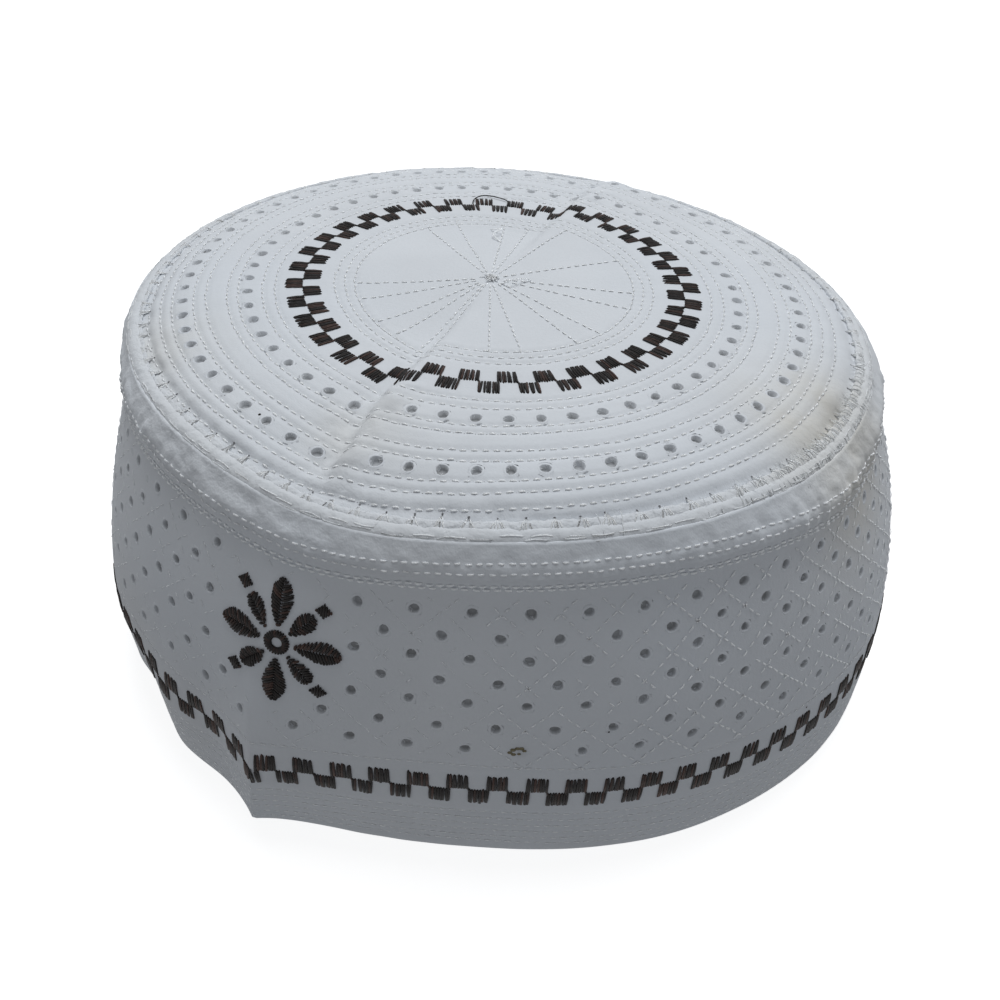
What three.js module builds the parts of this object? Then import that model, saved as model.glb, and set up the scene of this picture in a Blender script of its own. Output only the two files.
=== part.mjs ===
// A round prayer cap of starched, quilted white cotton: a nearly flat round crown, a raised
// over-sewn seam round its edge, and a tall side band that flares to an open hem.
// Units are millimetres, +Z is up, the hem stands on z = 0 and -Y is the front.

import * as THREE from 'three';

// Driving sizes
const crownRadius = 78.3;      // mean radius of the seam between crown and band
const hemRadius = 91.3;        // mean radius of the hem's outer edge
const capHeight = 83.2;        // floor to the middle of the crown
const crownDomeDrop = 1.9;     // soft doming over the whole crown
const crownEdgeDrop = 4.7;     // extra fall in the last stretch before the seam
const crownWall = 2.0;         // quilted crown cloth
const bandWall = 2.0;          // quilted band cloth
const bandBulge = 5.8;         // the band's belly beyond a straight line from seam to hem
const rollProud = 2.3;         // padded roll just under the seam
const rollLevel = 0.06;        // its place, as a share of the band's height from the top
const rollSpread = 0.05;       // its half height, as the same share
const seamWidth = 2.4;         // over-sewn ridge between crown and band
const seamHeight = 3.0;
const seamProud = 1.2;         // how far the ridge stands above the cloth beside it
const seamGap = 0.3;           // clearance between the sewn pieces
const edgeSlant = 1.5;         // height of the band's top edge as a multiple of its wall
const edgeFallPower = 12;      // how late the crown starts to fall towards the seam

// Plan of the cap: each row is a direction (degrees, 0 is +X, 270 is the front) with the seam's
// radius as a share of crownRadius and the hem's radius as a share of hemRadius.
const plan = [
  { angle: 0, seam: 1.028, hem: 1.078 },
  { angle: 30, seam: 1.017, hem: 1.033 },
  { angle: 60, seam: 1.003, hem: 1.018 },
  { angle: 90, seam: 0.995, hem: 1.020 },
  { angle: 120, seam: 0.990, hem: 0.980 },
  { angle: 150, seam: 0.985, hem: 0.930 },
  { angle: 180, seam: 0.978, hem: 0.935 },
  { angle: 210, seam: 0.973, hem: 0.975 },
  { angle: 240, seam: 0.980, hem: 0.970 },
  { angle: 270, seam: 0.995, hem: 0.948 },
  { angle: 300, seam: 1.015, hem: 1.010 },
  { angle: 330, seam: 1.029, hem: 1.076 },
];

// The old storage fold crosses the crown through its middle. Each row is one half of it: its
// direction, how far the cloth drops on its low side and rises on its high side (shares of
// capHeight) and how wide each side is (shares of crownRadius).
const crownFold = [
  { angle: 247, drop: 0.043, lowWidth: 0.20, rise: 0.004, highWidth: 0.10 },
  { angle: 67, drop: 0.012, lowWidth: 0.24, rise: 0.022, highWidth: 0.16 },
];
const foldStep = 0.022;        // width of the step at the fold, as a share of crownRadius
const foldStart = 0.35;        // share of crownRadius at which the fold has its full depth
const foldFade = 0.84;         // share of the seam's radius from which the step fades out

// Soft slumps of the crown's edge: direction, fall as a share of capHeight, half width in
// degrees, and the share of the seam's radius from which the edge gives way.
const edgeSlumps = [
  { angle: 251, fall: 0.032, halfWidth: 17, from: 0.66 },
  { angle: 324, fall: 0.012, halfWidth: 12, from: 0.80 },
];

// The same fold runs down the band as a corner. Each row is a level (0 at the seam, 1 at the
// hem), the corner's direction, how far it stands out (share of hemRadius) and its spread in
// degrees.
const frontCorner = [
  { level: 0.00, angle: 248, out: 0.000, spread: 9 },
  { level: 0.20, angle: 246, out: 0.012, spread: 8 },
  { level: 0.45, angle: 243, out: 0.026, spread: 6.5 },
  { level: 0.73, angle: 244, out: 0.056, spread: 5 },
  { level: 1.00, angle: 242, out: 0.054, spread: 4.5 },
];
const backCorner = [
  { level: 0.00, angle: 67, out: 0.000, spread: 10 },
  { level: 0.45, angle: 66, out: 0.010, spread: 9 },
  { level: 1.00, angle: 64, out: 0.022, spread: 7 },
];

// Soft dents (and, where depth is negative, swells) in the band, with their direction, level,
// depth as a share of hemRadius, half width in degrees and half height as a share of the band.
const dents = [
  { angle: 215, level: 1.00, depth: 0.030, halfWidth: 7, halfHeight: 0.22 },
  { angle: 235, level: 0.80, depth: 0.011, halfWidth: 4, halfHeight: 0.20 },
  { angle: 226, level: 0.85, depth: -0.010, halfWidth: 5, halfHeight: 0.20 },
  { angle: 190, level: 0.30, depth: 0.020, halfWidth: 22, halfHeight: 0.38 },
  { angle: 262, level: 0.35, depth: 0.012, halfWidth: 12, halfHeight: 0.25 },
  { angle: 318, level: 0.10, depth: -0.014, halfWidth: 14, halfHeight: 0.10 },
];

// Facets
const coarseStep = 5;          // degrees between sections round the cap
const fineStep = 2;            // degrees between sections beside the fold
const fineReach = 16;          // degrees each side of the fold that use the fine step
const crownRings = [0.10, 0.30, 0.50, 0.66, 0.80, 0.90, 0.96, 1.0];
const bandLevels = [0, 0.03, 0.06, 0.10, 0.15, 0.25, 0.38, 0.52, 0.66, 0.80, 0.91, 1.0];

const radians = THREE.MathUtils.degToRad;

// Degrees from b to a, between -180 and 180.
function turnBetween(a, b) {
  return ((a - b + 540) % 360) - 180;
}

// A column of a closed table of directions, joined by a smooth periodic curve.
function roundTable(rows, column, degrees) {
  const step = 360 / rows.length;
  const place = (((degrees % 360) + 360) % 360) / step;
  const index = Math.floor(place);
  const t = place - index;
  const value = (k) => rows[(index + k + rows.length) % rows.length][column];
  const [a, b, c, d] = [value(-1), value(0), value(1), value(2)];
  const slopeIn = (c - a) / 2;
  const slopeOut = (d - b) / 2;
  const t2 = t * t;
  const t3 = t2 * t;
  return (2 * t3 - 3 * t2 + 1) * b + (t3 - 2 * t2 + t) * slopeIn
    + (3 * t2 - 2 * t3) * c + (t3 - t2) * slopeOut;
}

// A column of a table of levels, joined by straight lines.
function levelTable(rows, column, level) {
  let k = 0;
  while (k < rows.length - 2 && level > rows[k + 1].level) {
    k += 1;
  }
  const t = THREE.MathUtils.clamp((level - rows[k].level) / (rows[k + 1].level - rows[k].level), 0, 1);
  return rows[k][column] * (1 - t) + rows[k + 1][column] * t;
}

function seamRadius(degrees) {
  return crownRadius * roundTable(plan, 'seam', degrees);
}

// Height that the storage fold adds to the crown at a place: a step along the fold line, low on
// its clockwise side in front, which fades out sideways and towards the crown's middle.
function foldHeight(radius, degrees) {
  let height = 0;
  crownFold.forEach((fold, half) => {
    const turn = radians(turnBetween(degrees, fold.angle));
    const along = radius * Math.cos(turn);
    if (along <= 0) {
      return;
    }
    const across = radius * Math.sin(turn) * (half === 0 ? 1 : -1);
    const depth = THREE.MathUtils.smoothstep(along, 0, foldStart * crownRadius);
    const high = 0.5 + 0.5 * Math.tanh(across / (foldStep * crownRadius));
    const rise = fold.rise * Math.exp(-Math.abs(across) / (fold.highWidth * crownRadius));
    const drop = fold.drop * Math.exp(-Math.abs(across) / (fold.lowWidth * crownRadius));
    height += capHeight * depth * (high * rise - (1 - high) * drop);
  });
  return height;
}

function edgeSlump(share, degrees) {
  return edgeSlumps.reduce((sum, slump) => {
    const turn = turnBetween(degrees, slump.angle) / slump.halfWidth;
    const reach = THREE.MathUtils.smoothstep(share, slump.from, 1);
    return sum + capHeight * slump.fall * reach * Math.exp(-turn * turn);
  }, 0);
}

// Height of the crown's outer face: a shallow dome, a late fall to the seam, the fold's step,
// which fades out at the stiff seam, and the slumps of the edge.
function crownHeight(radius, degrees) {
  const share = radius / seamRadius(degrees);
  const dome = crownDomeDrop * share ** 2;
  const fall = crownEdgeDrop * share ** edgeFallPower;
  const step = foldHeight(radius, degrees) * (1 - THREE.MathUtils.smoothstep(share, foldFade, 1));
  return capHeight - dome - fall + step - edgeSlump(share, degrees);
}

function corner(rows, degrees, level) {
  const turn = turnBetween(degrees, levelTable(rows, 'angle', level));
  return hemRadius * levelTable(rows, 'out', level) * Math.exp(-Math.abs(turn) / levelTable(rows, 'spread', level));
}

function dentDepth(degrees, level) {
  return dents.reduce((sum, dent) => {
    const turn = turnBetween(degrees, dent.angle) / dent.halfWidth;
    const lift = (level - dent.level) / dent.halfHeight;
    return sum + hemRadius * dent.depth * Math.exp(-turn * turn - lift * lift);
  }, 0);
}

// Where the sewn pieces meet: half the ridge and the clearance, either side of the seam line.
const seamClear = seamWidth / 2 + seamGap;

// Outer face of the band at a direction and a level: a line from seam to hem, plus the belly,
// the padded roll, the fold's corners and the dents.
function bandPoint(degrees, level) {
  const top = seamRadius(degrees) + seamClear;
  const hem = hemRadius * roundTable(plan, 'hem', degrees);
  const roll = rollProud * (Math.exp(-(((level - rollLevel) / rollSpread) ** 2))
    - Math.exp(-((rollLevel / rollSpread) ** 2)) * (1 - level));
  const belly = bandBulge * Math.sin(Math.PI * level);
  const shape = corner(frontCorner, degrees, level) + corner(backCorner, degrees, level)
    - dentDepth(degrees, level) * Math.min(1, level / rollLevel);
  const topHeight = crownHeight(seamRadius(degrees), degrees);
  return {
    radius: top + (hem - top) * level + roll + belly + shape,
    height: topHeight * (1 - level),
  };
}

// Inner face of the band: the outer face moved in by the wall, square to its slope.
function bandInnerPoint(degrees, level) {
  const outer = bandPoint(degrees, level);
  if (level === 0) {
    return { radius: outer.radius, height: outer.height - edgeSlant * bandWall };
  }
  const probe = 0.01;
  const above = bandPoint(degrees, Math.max(level - probe, 0));
  const below = bandPoint(degrees, Math.min(level + probe, 1));
  const slope = (below.radius - above.radius) / (above.height - below.height);
  const inset = bandWall * Math.sqrt(1 + slope * slope);
  const height = Math.min(outer.height, bandPoint(degrees, 0).height - edgeSlant * bandWall * (1 + level));
  return { radius: outer.radius - inset, height };
}

// Directions of the sections: even steps, with fine ones beside both ends of the fold.
function sectionAngles() {
  const angles = [];
  let degrees = 0;
  while (degrees < 360 - 1e-6) {
    angles.push(degrees);
    const near = crownFold.some((fold) => Math.abs(turnBetween(degrees, fold.angle)) < fineReach);
    degrees += near ? fineStep : coarseStep;
  }
  return angles;
}

// A closed band of quads: each profile is a loop of { radius, height } at one direction.
function ringSolid(profileAt) {
  const angles = sectionAngles();
  const positions = [];
  angles.forEach((degrees) => {
    profileAt(degrees).forEach(({ radius, height }) => {
      positions.push(radius * Math.cos(radians(degrees)), radius * Math.sin(radians(degrees)), height);
    });
  });
  const count = positions.length / 3 / angles.length;
  const index = [];
  for (let i = 0; i < angles.length; i += 1) {
    const next = (i + 1) % angles.length;
    for (let j = 0; j < count; j += 1) {
      const k = (j + 1) % count;
      const [a, b, c, d] = [i * count + j, next * count + j, next * count + k, i * count + k];
      index.push(a, b, c, a, c, d);
    }
  }
  return indexedGeometry(positions, index);
}

function indexedGeometry(positions, index) {
  const geometry = new THREE.BufferGeometry();
  geometry.setAttribute('position', new THREE.Float32BufferAttribute(positions, 3));
  geometry.setIndex(index);
  geometry.computeVertexNormals();
  return geometry;
}

// The crown: rings of its outer and inner face round two middle points.
function crownGeometry() {
  const angles = sectionAngles();
  const rings = crownRings.length;
  const positions = [0, 0, crownHeight(0, 0), 0, 0, crownHeight(0, 0) - crownWall];
  const pushRing = (share, lower) => {
    angles.forEach((degrees) => {
      const radius = share * (seamRadius(degrees) - seamClear);
      positions.push(
        radius * Math.cos(radians(degrees)),
        radius * Math.sin(radians(degrees)),
        crownHeight(radius, degrees) - lower,
      );
    });
  };
  crownRings.forEach((share) => pushRing(share, 0));
  [...crownRings].reverse().forEach((share) => pushRing(share, crownWall));
  const at = (ring, i) => 2 + ring * angles.length + (i % angles.length);
  const index = [];
  angles.forEach((_, i) => {
    index.push(0, at(0, i), at(0, i + 1));
    for (let ring = 0; ring < 2 * rings - 1; ring += 1) {
      index.push(at(ring, i), at(ring + 1, i), at(ring + 1, i + 1));
      index.push(at(ring, i), at(ring + 1, i + 1), at(ring, i + 1));
    }
    index.push(at(2 * rings - 1, i), 1, at(2 * rings - 1, i + 1));
  });
  return indexedGeometry(positions, index);
}

// The ridge: an eight-sided section along the seam line, standing proud of the cloth.
function seamGeometry() {
  const sides = 8;
  const flat = Math.cos(Math.PI / sides);
  return ringSolid((degrees) => {
    const radius = seamRadius(degrees);
    const middle = crownHeight(radius, degrees) + seamProud - seamHeight / 2;
    return Array.from({ length: sides }, (_, k) => {
      const turn = (2 * Math.PI * (k + 0.5)) / sides;
      return {
        radius: radius + ((seamWidth / 2) * Math.cos(turn)) / flat,
        height: middle + ((seamHeight / 2) * Math.sin(turn)) / flat,
      };
    });
  });
}

function bandGeometry() {
  return ringSolid((degrees) => {
    const inner = bandLevels.map((level) => bandInnerPoint(degrees, level));
    const outer = [...bandLevels].reverse().map((level) => bandPoint(degrees, level));
    return [...inner, ...outer];
  });
}

function cottonMaterial(color, roughness) {
  return new THREE.MeshStandardMaterial({ color, roughness, metalness: 0 });
}

function namedMesh(name, geometry, material) {
  const mesh = new THREE.Mesh(geometry, material);
  mesh.name = name;
  return mesh;
}

const crownTop = namedMesh('crown_top', crownGeometry(), cottonMaterial(0xe6e8ec, 0.9));
const crownSeam = namedMesh('crown_seam', seamGeometry(), cottonMaterial(0xdfe0e0, 0.95));
const sideBand = namedMesh('side_band', bandGeometry(), cottonMaterial(0xe2e4e8, 0.9));

const cap = new THREE.Group();
cap.add(crownTop, crownSeam, sideBand);

// The origin is on the floor under the middle of the cap's outline.
const middle = new THREE.Box3().setFromObject(cap).getCenter(new THREE.Vector3());
cap.position.set(-middle.x, -middle.y, 0);

export default cap;
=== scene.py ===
"""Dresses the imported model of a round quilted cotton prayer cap.

Every surface is a function of two parameters worked out on a numpy grid. The crown and the band
repeat the formulas of the part's source, so each piece lies where its solid is. Lengths are in
metres; the tables give millimetres where a column's name ends in _mm.
"""

import math

import bpy
import numpy as np
from bpy.props import FloatProperty, FloatVectorProperty, IntProperty, PointerProperty
from mathutils import Matrix, Vector


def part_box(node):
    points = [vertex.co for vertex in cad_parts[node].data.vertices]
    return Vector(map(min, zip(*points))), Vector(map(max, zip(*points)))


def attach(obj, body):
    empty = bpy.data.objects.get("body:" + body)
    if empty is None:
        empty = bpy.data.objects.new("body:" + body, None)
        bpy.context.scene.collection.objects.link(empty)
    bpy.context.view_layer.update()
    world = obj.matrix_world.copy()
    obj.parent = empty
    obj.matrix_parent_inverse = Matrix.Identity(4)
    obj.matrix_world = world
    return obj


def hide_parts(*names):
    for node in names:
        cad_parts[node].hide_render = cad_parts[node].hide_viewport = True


bl_info = {
    "name": "Quilted prayer cap",
    "version": (1, 0, 0),
    "blender": (4, 5, 0),
    "location": "View3D > Sidebar > Cap",
    "description": "Builds the cloth, stitches, eyelets and embroidery of a round cotton cap",
    "category": "Object",
}

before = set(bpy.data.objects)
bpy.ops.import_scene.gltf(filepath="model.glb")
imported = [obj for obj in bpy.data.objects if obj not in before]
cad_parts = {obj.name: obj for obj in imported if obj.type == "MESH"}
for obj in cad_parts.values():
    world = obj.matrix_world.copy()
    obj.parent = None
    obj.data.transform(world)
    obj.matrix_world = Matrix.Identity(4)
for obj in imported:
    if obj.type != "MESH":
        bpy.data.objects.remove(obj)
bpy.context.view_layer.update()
MM = 0.001

# Plan of the cap: direction in degrees (0 is +X, 270 the front), the seam's radius as a share of
# the crown's radius and the hem's radius as a share of the hem's mean radius.
PLAN = [
    {"angle": 0, "seam": 1.028, "hem": 1.078},
    {"angle": 30, "seam": 1.017, "hem": 1.033},
    {"angle": 60, "seam": 1.003, "hem": 1.018},
    {"angle": 90, "seam": 0.995, "hem": 1.020},
    {"angle": 120, "seam": 0.990, "hem": 0.980},
    {"angle": 150, "seam": 0.985, "hem": 0.930},
    {"angle": 180, "seam": 0.978, "hem": 0.935},
    {"angle": 210, "seam": 0.973, "hem": 0.975},
    {"angle": 240, "seam": 0.980, "hem": 0.970},
    {"angle": 270, "seam": 0.995, "hem": 0.948},
    {"angle": 300, "seam": 1.015, "hem": 1.010},
    {"angle": 330, "seam": 1.029, "hem": 1.076},
]

# The storage fold's two halves on the crown: direction, drop of the low side and rise of the
# high side as shares of the cap's height, and their widths as shares of the crown's radius.
CROWN_FOLD = [
    {"angle": 247, "drop": 0.043, "low_width": 0.20, "rise": 0.004, "high_width": 0.10, "hand": 1},
    {"angle": 67, "drop": 0.012, "low_width": 0.24, "rise": 0.022, "high_width": 0.16, "hand": -1},
]

# Slumps of the crown's edge: direction, fall as a share of the cap's height, half width in
# degrees and the share of the seam's radius where the fall begins.
EDGE_SLUMPS = [
    {"angle": 251, "fall": 0.032, "half_width": 17, "start": 0.66},
    {"angle": 324, "fall": 0.012, "half_width": 12, "start": 0.80},
]

# The fold's corners down the band: level from seam to hem, direction, how far the corner stands
# out as a share of the hem's radius and its spread in degrees.
FRONT_CORNER = [
    {"level": 0.00, "angle": 248, "out": 0.000, "spread": 9},
    {"level": 0.20, "angle": 246, "out": 0.012, "spread": 8},
    {"level": 0.45, "angle": 243, "out": 0.026, "spread": 6.5},
    {"level": 0.73, "angle": 244, "out": 0.056, "spread": 5},
    {"level": 1.00, "angle": 242, "out": 0.054, "spread": 4.5},
]
BACK_CORNER = [
    {"level": 0.00, "angle": 67, "out": 0.000, "spread": 10},
    {"level": 0.45, "angle": 66, "out": 0.010, "spread": 9},
    {"level": 1.00, "angle": 64, "out": 0.022, "spread": 7},
]

# Dents in the band: direction, level, depth as a share of the hem's radius (a swell where it is
# negative), half width in degrees and half height as a share of the band.
DENTS = [
    {"angle": 215, "level": 1.00, "depth": 0.030, "half_width": 7, "half_height": 0.22},
    {"angle": 235, "level": 0.80, "depth": 0.011, "half_width": 4, "half_height": 0.20},
    {"angle": 226, "level": 0.85, "depth": -0.010, "half_width": 5, "half_height": 0.20},
    {"angle": 190, "level": 0.30, "depth": 0.020, "half_width": 22, "half_height": 0.38},
    {"angle": 262, "level": 0.35, "depth": 0.012, "half_width": 12, "half_height": 0.25},
    {"angle": 318, "level": 0.10, "depth": -0.014, "half_width": 14, "half_height": 0.10},
]

# Rings of machine stitching on the crown and rows on the band.
CROWN_ROWS_MM = [30.4, 32.5, 34.7, 47.4, 50.0, 55.1, 57.2, 61.7, 64.2, 68.7, 71.1, 74.0]
BAND_ROWS = [0.060, 0.081, 0.115, 0.128, 0.632]
HEM_ROWS = [0.820, 0.850, 0.880, 0.910, 0.940, 0.966]

# How far the rows stray from level, by direction: those under the roll and those at the hem.
ROW_STRAY = [
    {"angle": 0, "top": 0.005, "low": 0.008},
    {"angle": 30, "top": 0.000, "low": 0.004},
    {"angle": 60, "top": 0.000, "low": 0.004},
    {"angle": 90, "top": 0.000, "low": 0.004},
    {"angle": 120, "top": 0.000, "low": 0.004},
    {"angle": 150, "top": 0.000, "low": 0.004},
    {"angle": 180, "top": 0.000, "low": 0.004},
    {"angle": 210, "top": 0.000, "low": 0.008},
    {"angle": 240, "top": 0.000, "low": 0.010},
    {"angle": 270, "top": -0.020, "low": -0.015},
    {"angle": 300, "top": -0.019, "low": 0.010},
    {"angle": 330, "top": 0.003, "low": 0.014},
]

# Directions of the stitched spokes of the crown's middle.
SPOKES = [122, 107, 85, 74, 56, 23, 355, 342, 318, 306, 283, 271, 249, 243, 230, 219, 201, 188]
SPOKE_MIDDLE_MM = (-0.97, 0.12)

# The two rings of eyelets on the crown: radius, how many share the ring, the direction of the
# first and the one that the fold swallows.
EYELET_RINGS = [
    {"radius_mm": 53.1, "count": 56, "first": 100.55, "missing": 23},
    {"radius_mm": 66.5, "count": 70, "first": 93.91, "missing": 30},
]
EYELET_COLUMNS = 53
EYELET_LEVELS = [0.173, 0.236, 0.292, 0.356, 0.415, 0.487, 0.557]
EYELET_FIRST = 262.4

# The two chequered borders: the crown's by its radius, the band's by its level.
CROWN_CHECK = {"middle_mm": 41.5, "tall_mm": 3.85, "count": 35, "first": 95.05, "duty": 0.56, "shift": -0.03}
BAND_CHECK = {"level": 0.722, "tall_mm": 4.5, "count": 78, "first": 266.55, "duty": 0.56, "shift": -0.055}

# The rosette's place on the band.
ROSETTE = {"angle": 246.0, "level": 0.325, "clear_mm": 14.5}

# Marks of use: where they are on the crown (radius) or the band (level).
CROWN_SPECKS = [
    {"angle": 231.0, "radius_mm": 66.3, "size_mm": 0.30},
    {"angle": 171.5, "radius_mm": 66.6, "size_mm": 0.28},
]
BAND_SPECKS = [
    {"angle": 286.1, "level": 0.50, "size_mm": 0.20},
    {"angle": 315.2, "level": 0.66, "size_mm": 0.22},
]
BAND_STAIN = [
    {"angle": 274.70, "level": 0.561, "size_mm": 0.50},
    {"angle": 275.05, "level": 0.552, "size_mm": 0.58},
    {"angle": 275.55, "level": 0.547, "size_mm": 0.52},
    {"angle": 276.05, "level": 0.547, "size_mm": 0.55},
    {"angle": 276.40, "level": 0.554, "size_mm": 0.45},
    {"angle": 275.15, "level": 0.567, "size_mm": 0.50},
    {"angle": 275.80, "level": 0.565, "size_mm": 0.40},
]

# Colours of the small marks. The two hole colours are painted shade: discs laid where thread goes into the
# cloth. The speck and the stain are real marks.
MARK_COLOURS = {
    "needle_hole": (0.24, 0.24, 0.25),
    "seam_hole": (0.13, 0.13, 0.135),
    "dark_speck": (0.02, 0.016, 0.013),
    "brown_stain": (0.15, 0.13, 0.08),
}

# The band's height as a share of the cap's: for rows, and for the patterns sewn on its belly.
BAND_TALL = 0.93
PATTERN_TALL = 0.95

# Where the five points of a stitch lie along it, and how thick it is there.
STITCH_PLACES = np.array([0.0, 0.14, 0.5, 0.86, 1.0])
STITCH_SWELL = np.array([0.0, 0.85, 1.0, 0.85, 0.0])


class CapSizes(bpy.types.PropertyGroup):
    """Sizes of the cap's form, as in the part's source."""

    crown_radius: FloatProperty(
        name="Crown radius", description="Mean radius of the seam", default=0.0783, unit="LENGTH")
    hem_radius: FloatProperty(
        name="Hem radius", description="Mean radius of the hem", default=0.0913, unit="LENGTH")
    cap_height: FloatProperty(
        name="Height", description="Floor to the crown's middle", default=0.0832, unit="LENGTH")
    dome_drop: FloatProperty(
        name="Dome", description="Doming of the whole crown", default=0.0019, unit="LENGTH")
    edge_drop: FloatProperty(
        name="Edge fall", description="Fall of the crown near the seam", default=0.0047, unit="LENGTH")
    fall_power: FloatProperty(
        name="Edge power", description="How late the crown falls to the seam", default=12.0)
    fold_step: FloatProperty(
        name="Fold step", description="Width of the step, share of the radius", default=0.022)
    fold_start: FloatProperty(
        name="Fold start", description="Radius share where the fold is full", default=0.35)
    fold_fade: FloatProperty(
        name="Fold fade", description="Radius share where the fold fades", default=0.84)
    wall: FloatProperty(
        name="Cloth", description="Thickness of the quilted cloth", default=0.002, unit="LENGTH")
    belly: FloatProperty(
        name="Belly", description="Bulge of the band", default=0.0058, unit="LENGTH")
    roll_proud: FloatProperty(
        name="Roll", description="Padded roll under the seam", default=0.0023, unit="LENGTH")
    roll_level: FloatProperty(name="Roll level", description="Place of the roll", default=0.06)
    roll_spread: FloatProperty(name="Roll spread", description="Half height of the roll", default=0.05)
    seam_width: FloatProperty(
        name="Seam width", description="Room for the seam between crown and band", default=0.0024,
        unit="LENGTH")
    seam_gap: FloatProperty(
        name="Seam gap", description="Clearance of the solids", default=0.0003, unit="LENGTH")


class StitchSizes(bpy.types.PropertyGroup):
    """Sizes of stitches, eyelets and quilting."""

    pitch: FloatProperty(
        name="Stitch pitch", description="From stitch to stitch", default=0.0020, unit="LENGTH")
    share: FloatProperty(
        name="Stitch share", description="Visible share of the pitch", default=0.74, subtype="FACTOR")
    thread: FloatProperty(
        name="Thread", description="Radius of the sewing thread", default=0.00023, unit="LENGTH")
    puff: FloatProperty(
        name="Puff", description="Rise of the cloth between rows", default=0.00026, unit="LENGTH")
    pull: FloatProperty(
        name="Pull", description="Half width of a row's groove", default=0.00055, unit="LENGTH")
    eyelet: FloatProperty(
        name="Eyelet radius", description="Radius of an eyelet's mouth", default=0.00112, unit="LENGTH")
    eyelet_depth: FloatProperty(
        name="Eyelet depth", description="Depth of an eyelet", default=0.00105, unit="LENGTH")
    satin: FloatProperty(
        name="Satin thread", description="Radius of an embroidery stroke", default=0.00026, unit="LENGTH")
    ridge_inside: FloatProperty(
        name="Ridge inside", description="From the seam in to the whipped ridge", default=0.00078,
        unit="LENGTH")
    ridge_width: FloatProperty(
        name="Whipped width", description="Width of the whipped ridge", default=0.0025, unit="LENGTH")
    ridge_height: FloatProperty(
        name="Whipped height", description="Height of the whipped ridge", default=0.0017, unit="LENGTH")
    check_strokes: IntProperty(
        name="Strokes", description="Pairs of strokes in a chequer", default=4)


class CapColours(bpy.types.PropertyGroup):
    """Colours of cloth and threads, and the strengths of the lights."""

    cotton: FloatVectorProperty(
        name="Cotton", description="Starched white cotton", subtype="COLOR", size=3,
        default=(0.665, 0.685, 0.715))
    yellowed: FloatVectorProperty(
        name="Yellowed", description="Cotton browned by wear", subtype="COLOR", size=3,
        default=(0.62, 0.58, 0.50))
    # Real soil at the stain and the worn corner, and painted shade: the eyelets' walls and floors are mixed
    # towards this colour to stand for the shade inside the pits.
    soil_and_pit_shade: FloatVectorProperty(
        name="Soiled", description="Dust in pits and marks", subtype="COLOR", size=3,
        default=(0.17, 0.165, 0.16))
    thread: FloatVectorProperty(
        name="White thread", description="Sewing thread", subtype="COLOR", size=3,
        default=(0.92, 0.945, 0.97))
    dark: FloatVectorProperty(
        name="Dark thread", description="Embroidery thread", subtype="COLOR", size=3,
        default=(0.012, 0.0098, 0.0096))
    dark_warm: FloatVectorProperty(
        name="Worn dark thread", description="Browned embroidery strands", subtype="COLOR", size=3,
        default=(0.066, 0.037, 0.030))
    floor: FloatVectorProperty(
        name="Floor", description="Pale studio floor", subtype="COLOR", size=3,
        default=(0.50, 0.50, 0.50))
    sky: FloatProperty(
        name="Ambient", description="Strength of the even light", default=0.287)
    lamp: FloatProperty(
        name="Lamp", description="Power of the soft lamp in watts", default=7.1)


def unit(vectors):
    """Each vector divided by its length."""
    return vectors / np.maximum(np.linalg.norm(vectors, axis=-1, keepdims=True), 1e-12)


def smoothstep(x, low, high):
    """3t^2 - 2t^3, where t goes from 0 at low to 1 at high."""
    t = np.clip((x - low) / (high - low), 0.0, 1.0)
    return t * t * (3.0 - 2.0 * t)


def turn_between(a, b):
    """Degrees from b to a, between -180 and 180."""
    return (np.asarray(a) - b + 540.0) % 360.0 - 180.0


def bell_turn(degrees, middle, spread):
    """A bell curve of the direction: 1 at the middle, 1/e at the spread in degrees."""
    return np.exp(-(turn_between(degrees, middle) / spread) ** 2)


def between(start, end, t):
    """The straight line from start to end as t goes from 0 to 1."""
    return start * (1 - t) + end * t


def cubic(a, b, c, d, t):
    """The cubic from b to c whose slope at each of them is half the difference of its
    neighbours."""
    t2 = t * t
    t3 = t2 * t
    return ((2 * t3 - 3 * t2 + 1) * b + (t3 - 2 * t2 + t) * (c - a) / 2
            + (3 * t2 - 2 * t3) * c + (t3 - t2) * (d - b) / 2)


def round_table(rows, column, degrees):
    """A closed table of directions read as a smooth periodic curve of cubic pieces."""
    values = np.array([row[column] for row in rows])
    place = (np.asarray(degrees, float) % 360.0) / (360.0 / len(rows))
    index = np.floor(place).astype(int)
    return cubic(*(values[(index + k) % len(rows)] for k in (-1, 0, 1, 2)), place - index)


def level_table(rows, column, level):
    """A table of levels read along straight lines."""
    return np.interp(level, [row["level"] for row in rows], [row[column] for row in rows])


def ripple(points, wavelength, seed, waves=14):
    """Smooth cloth-like noise between about -1 and 1: the mean of sine waves with random
    directions and phases and lengths within a third of the wavelength, times 1.9."""
    draw = np.random.default_rng(seed)
    direction = unit(draw.normal(size=(waves, 3)))
    length = wavelength * draw.uniform(0.75, 1.35, waves)
    phase = draw.uniform(0, 2 * math.pi, waves)
    total = 0.0
    for k in range(waves):
        total = total + np.sin(points @ (direction[k] * 2 * math.pi / length[k]) + phase[k])
    return total * (1.9 / waves)


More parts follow.
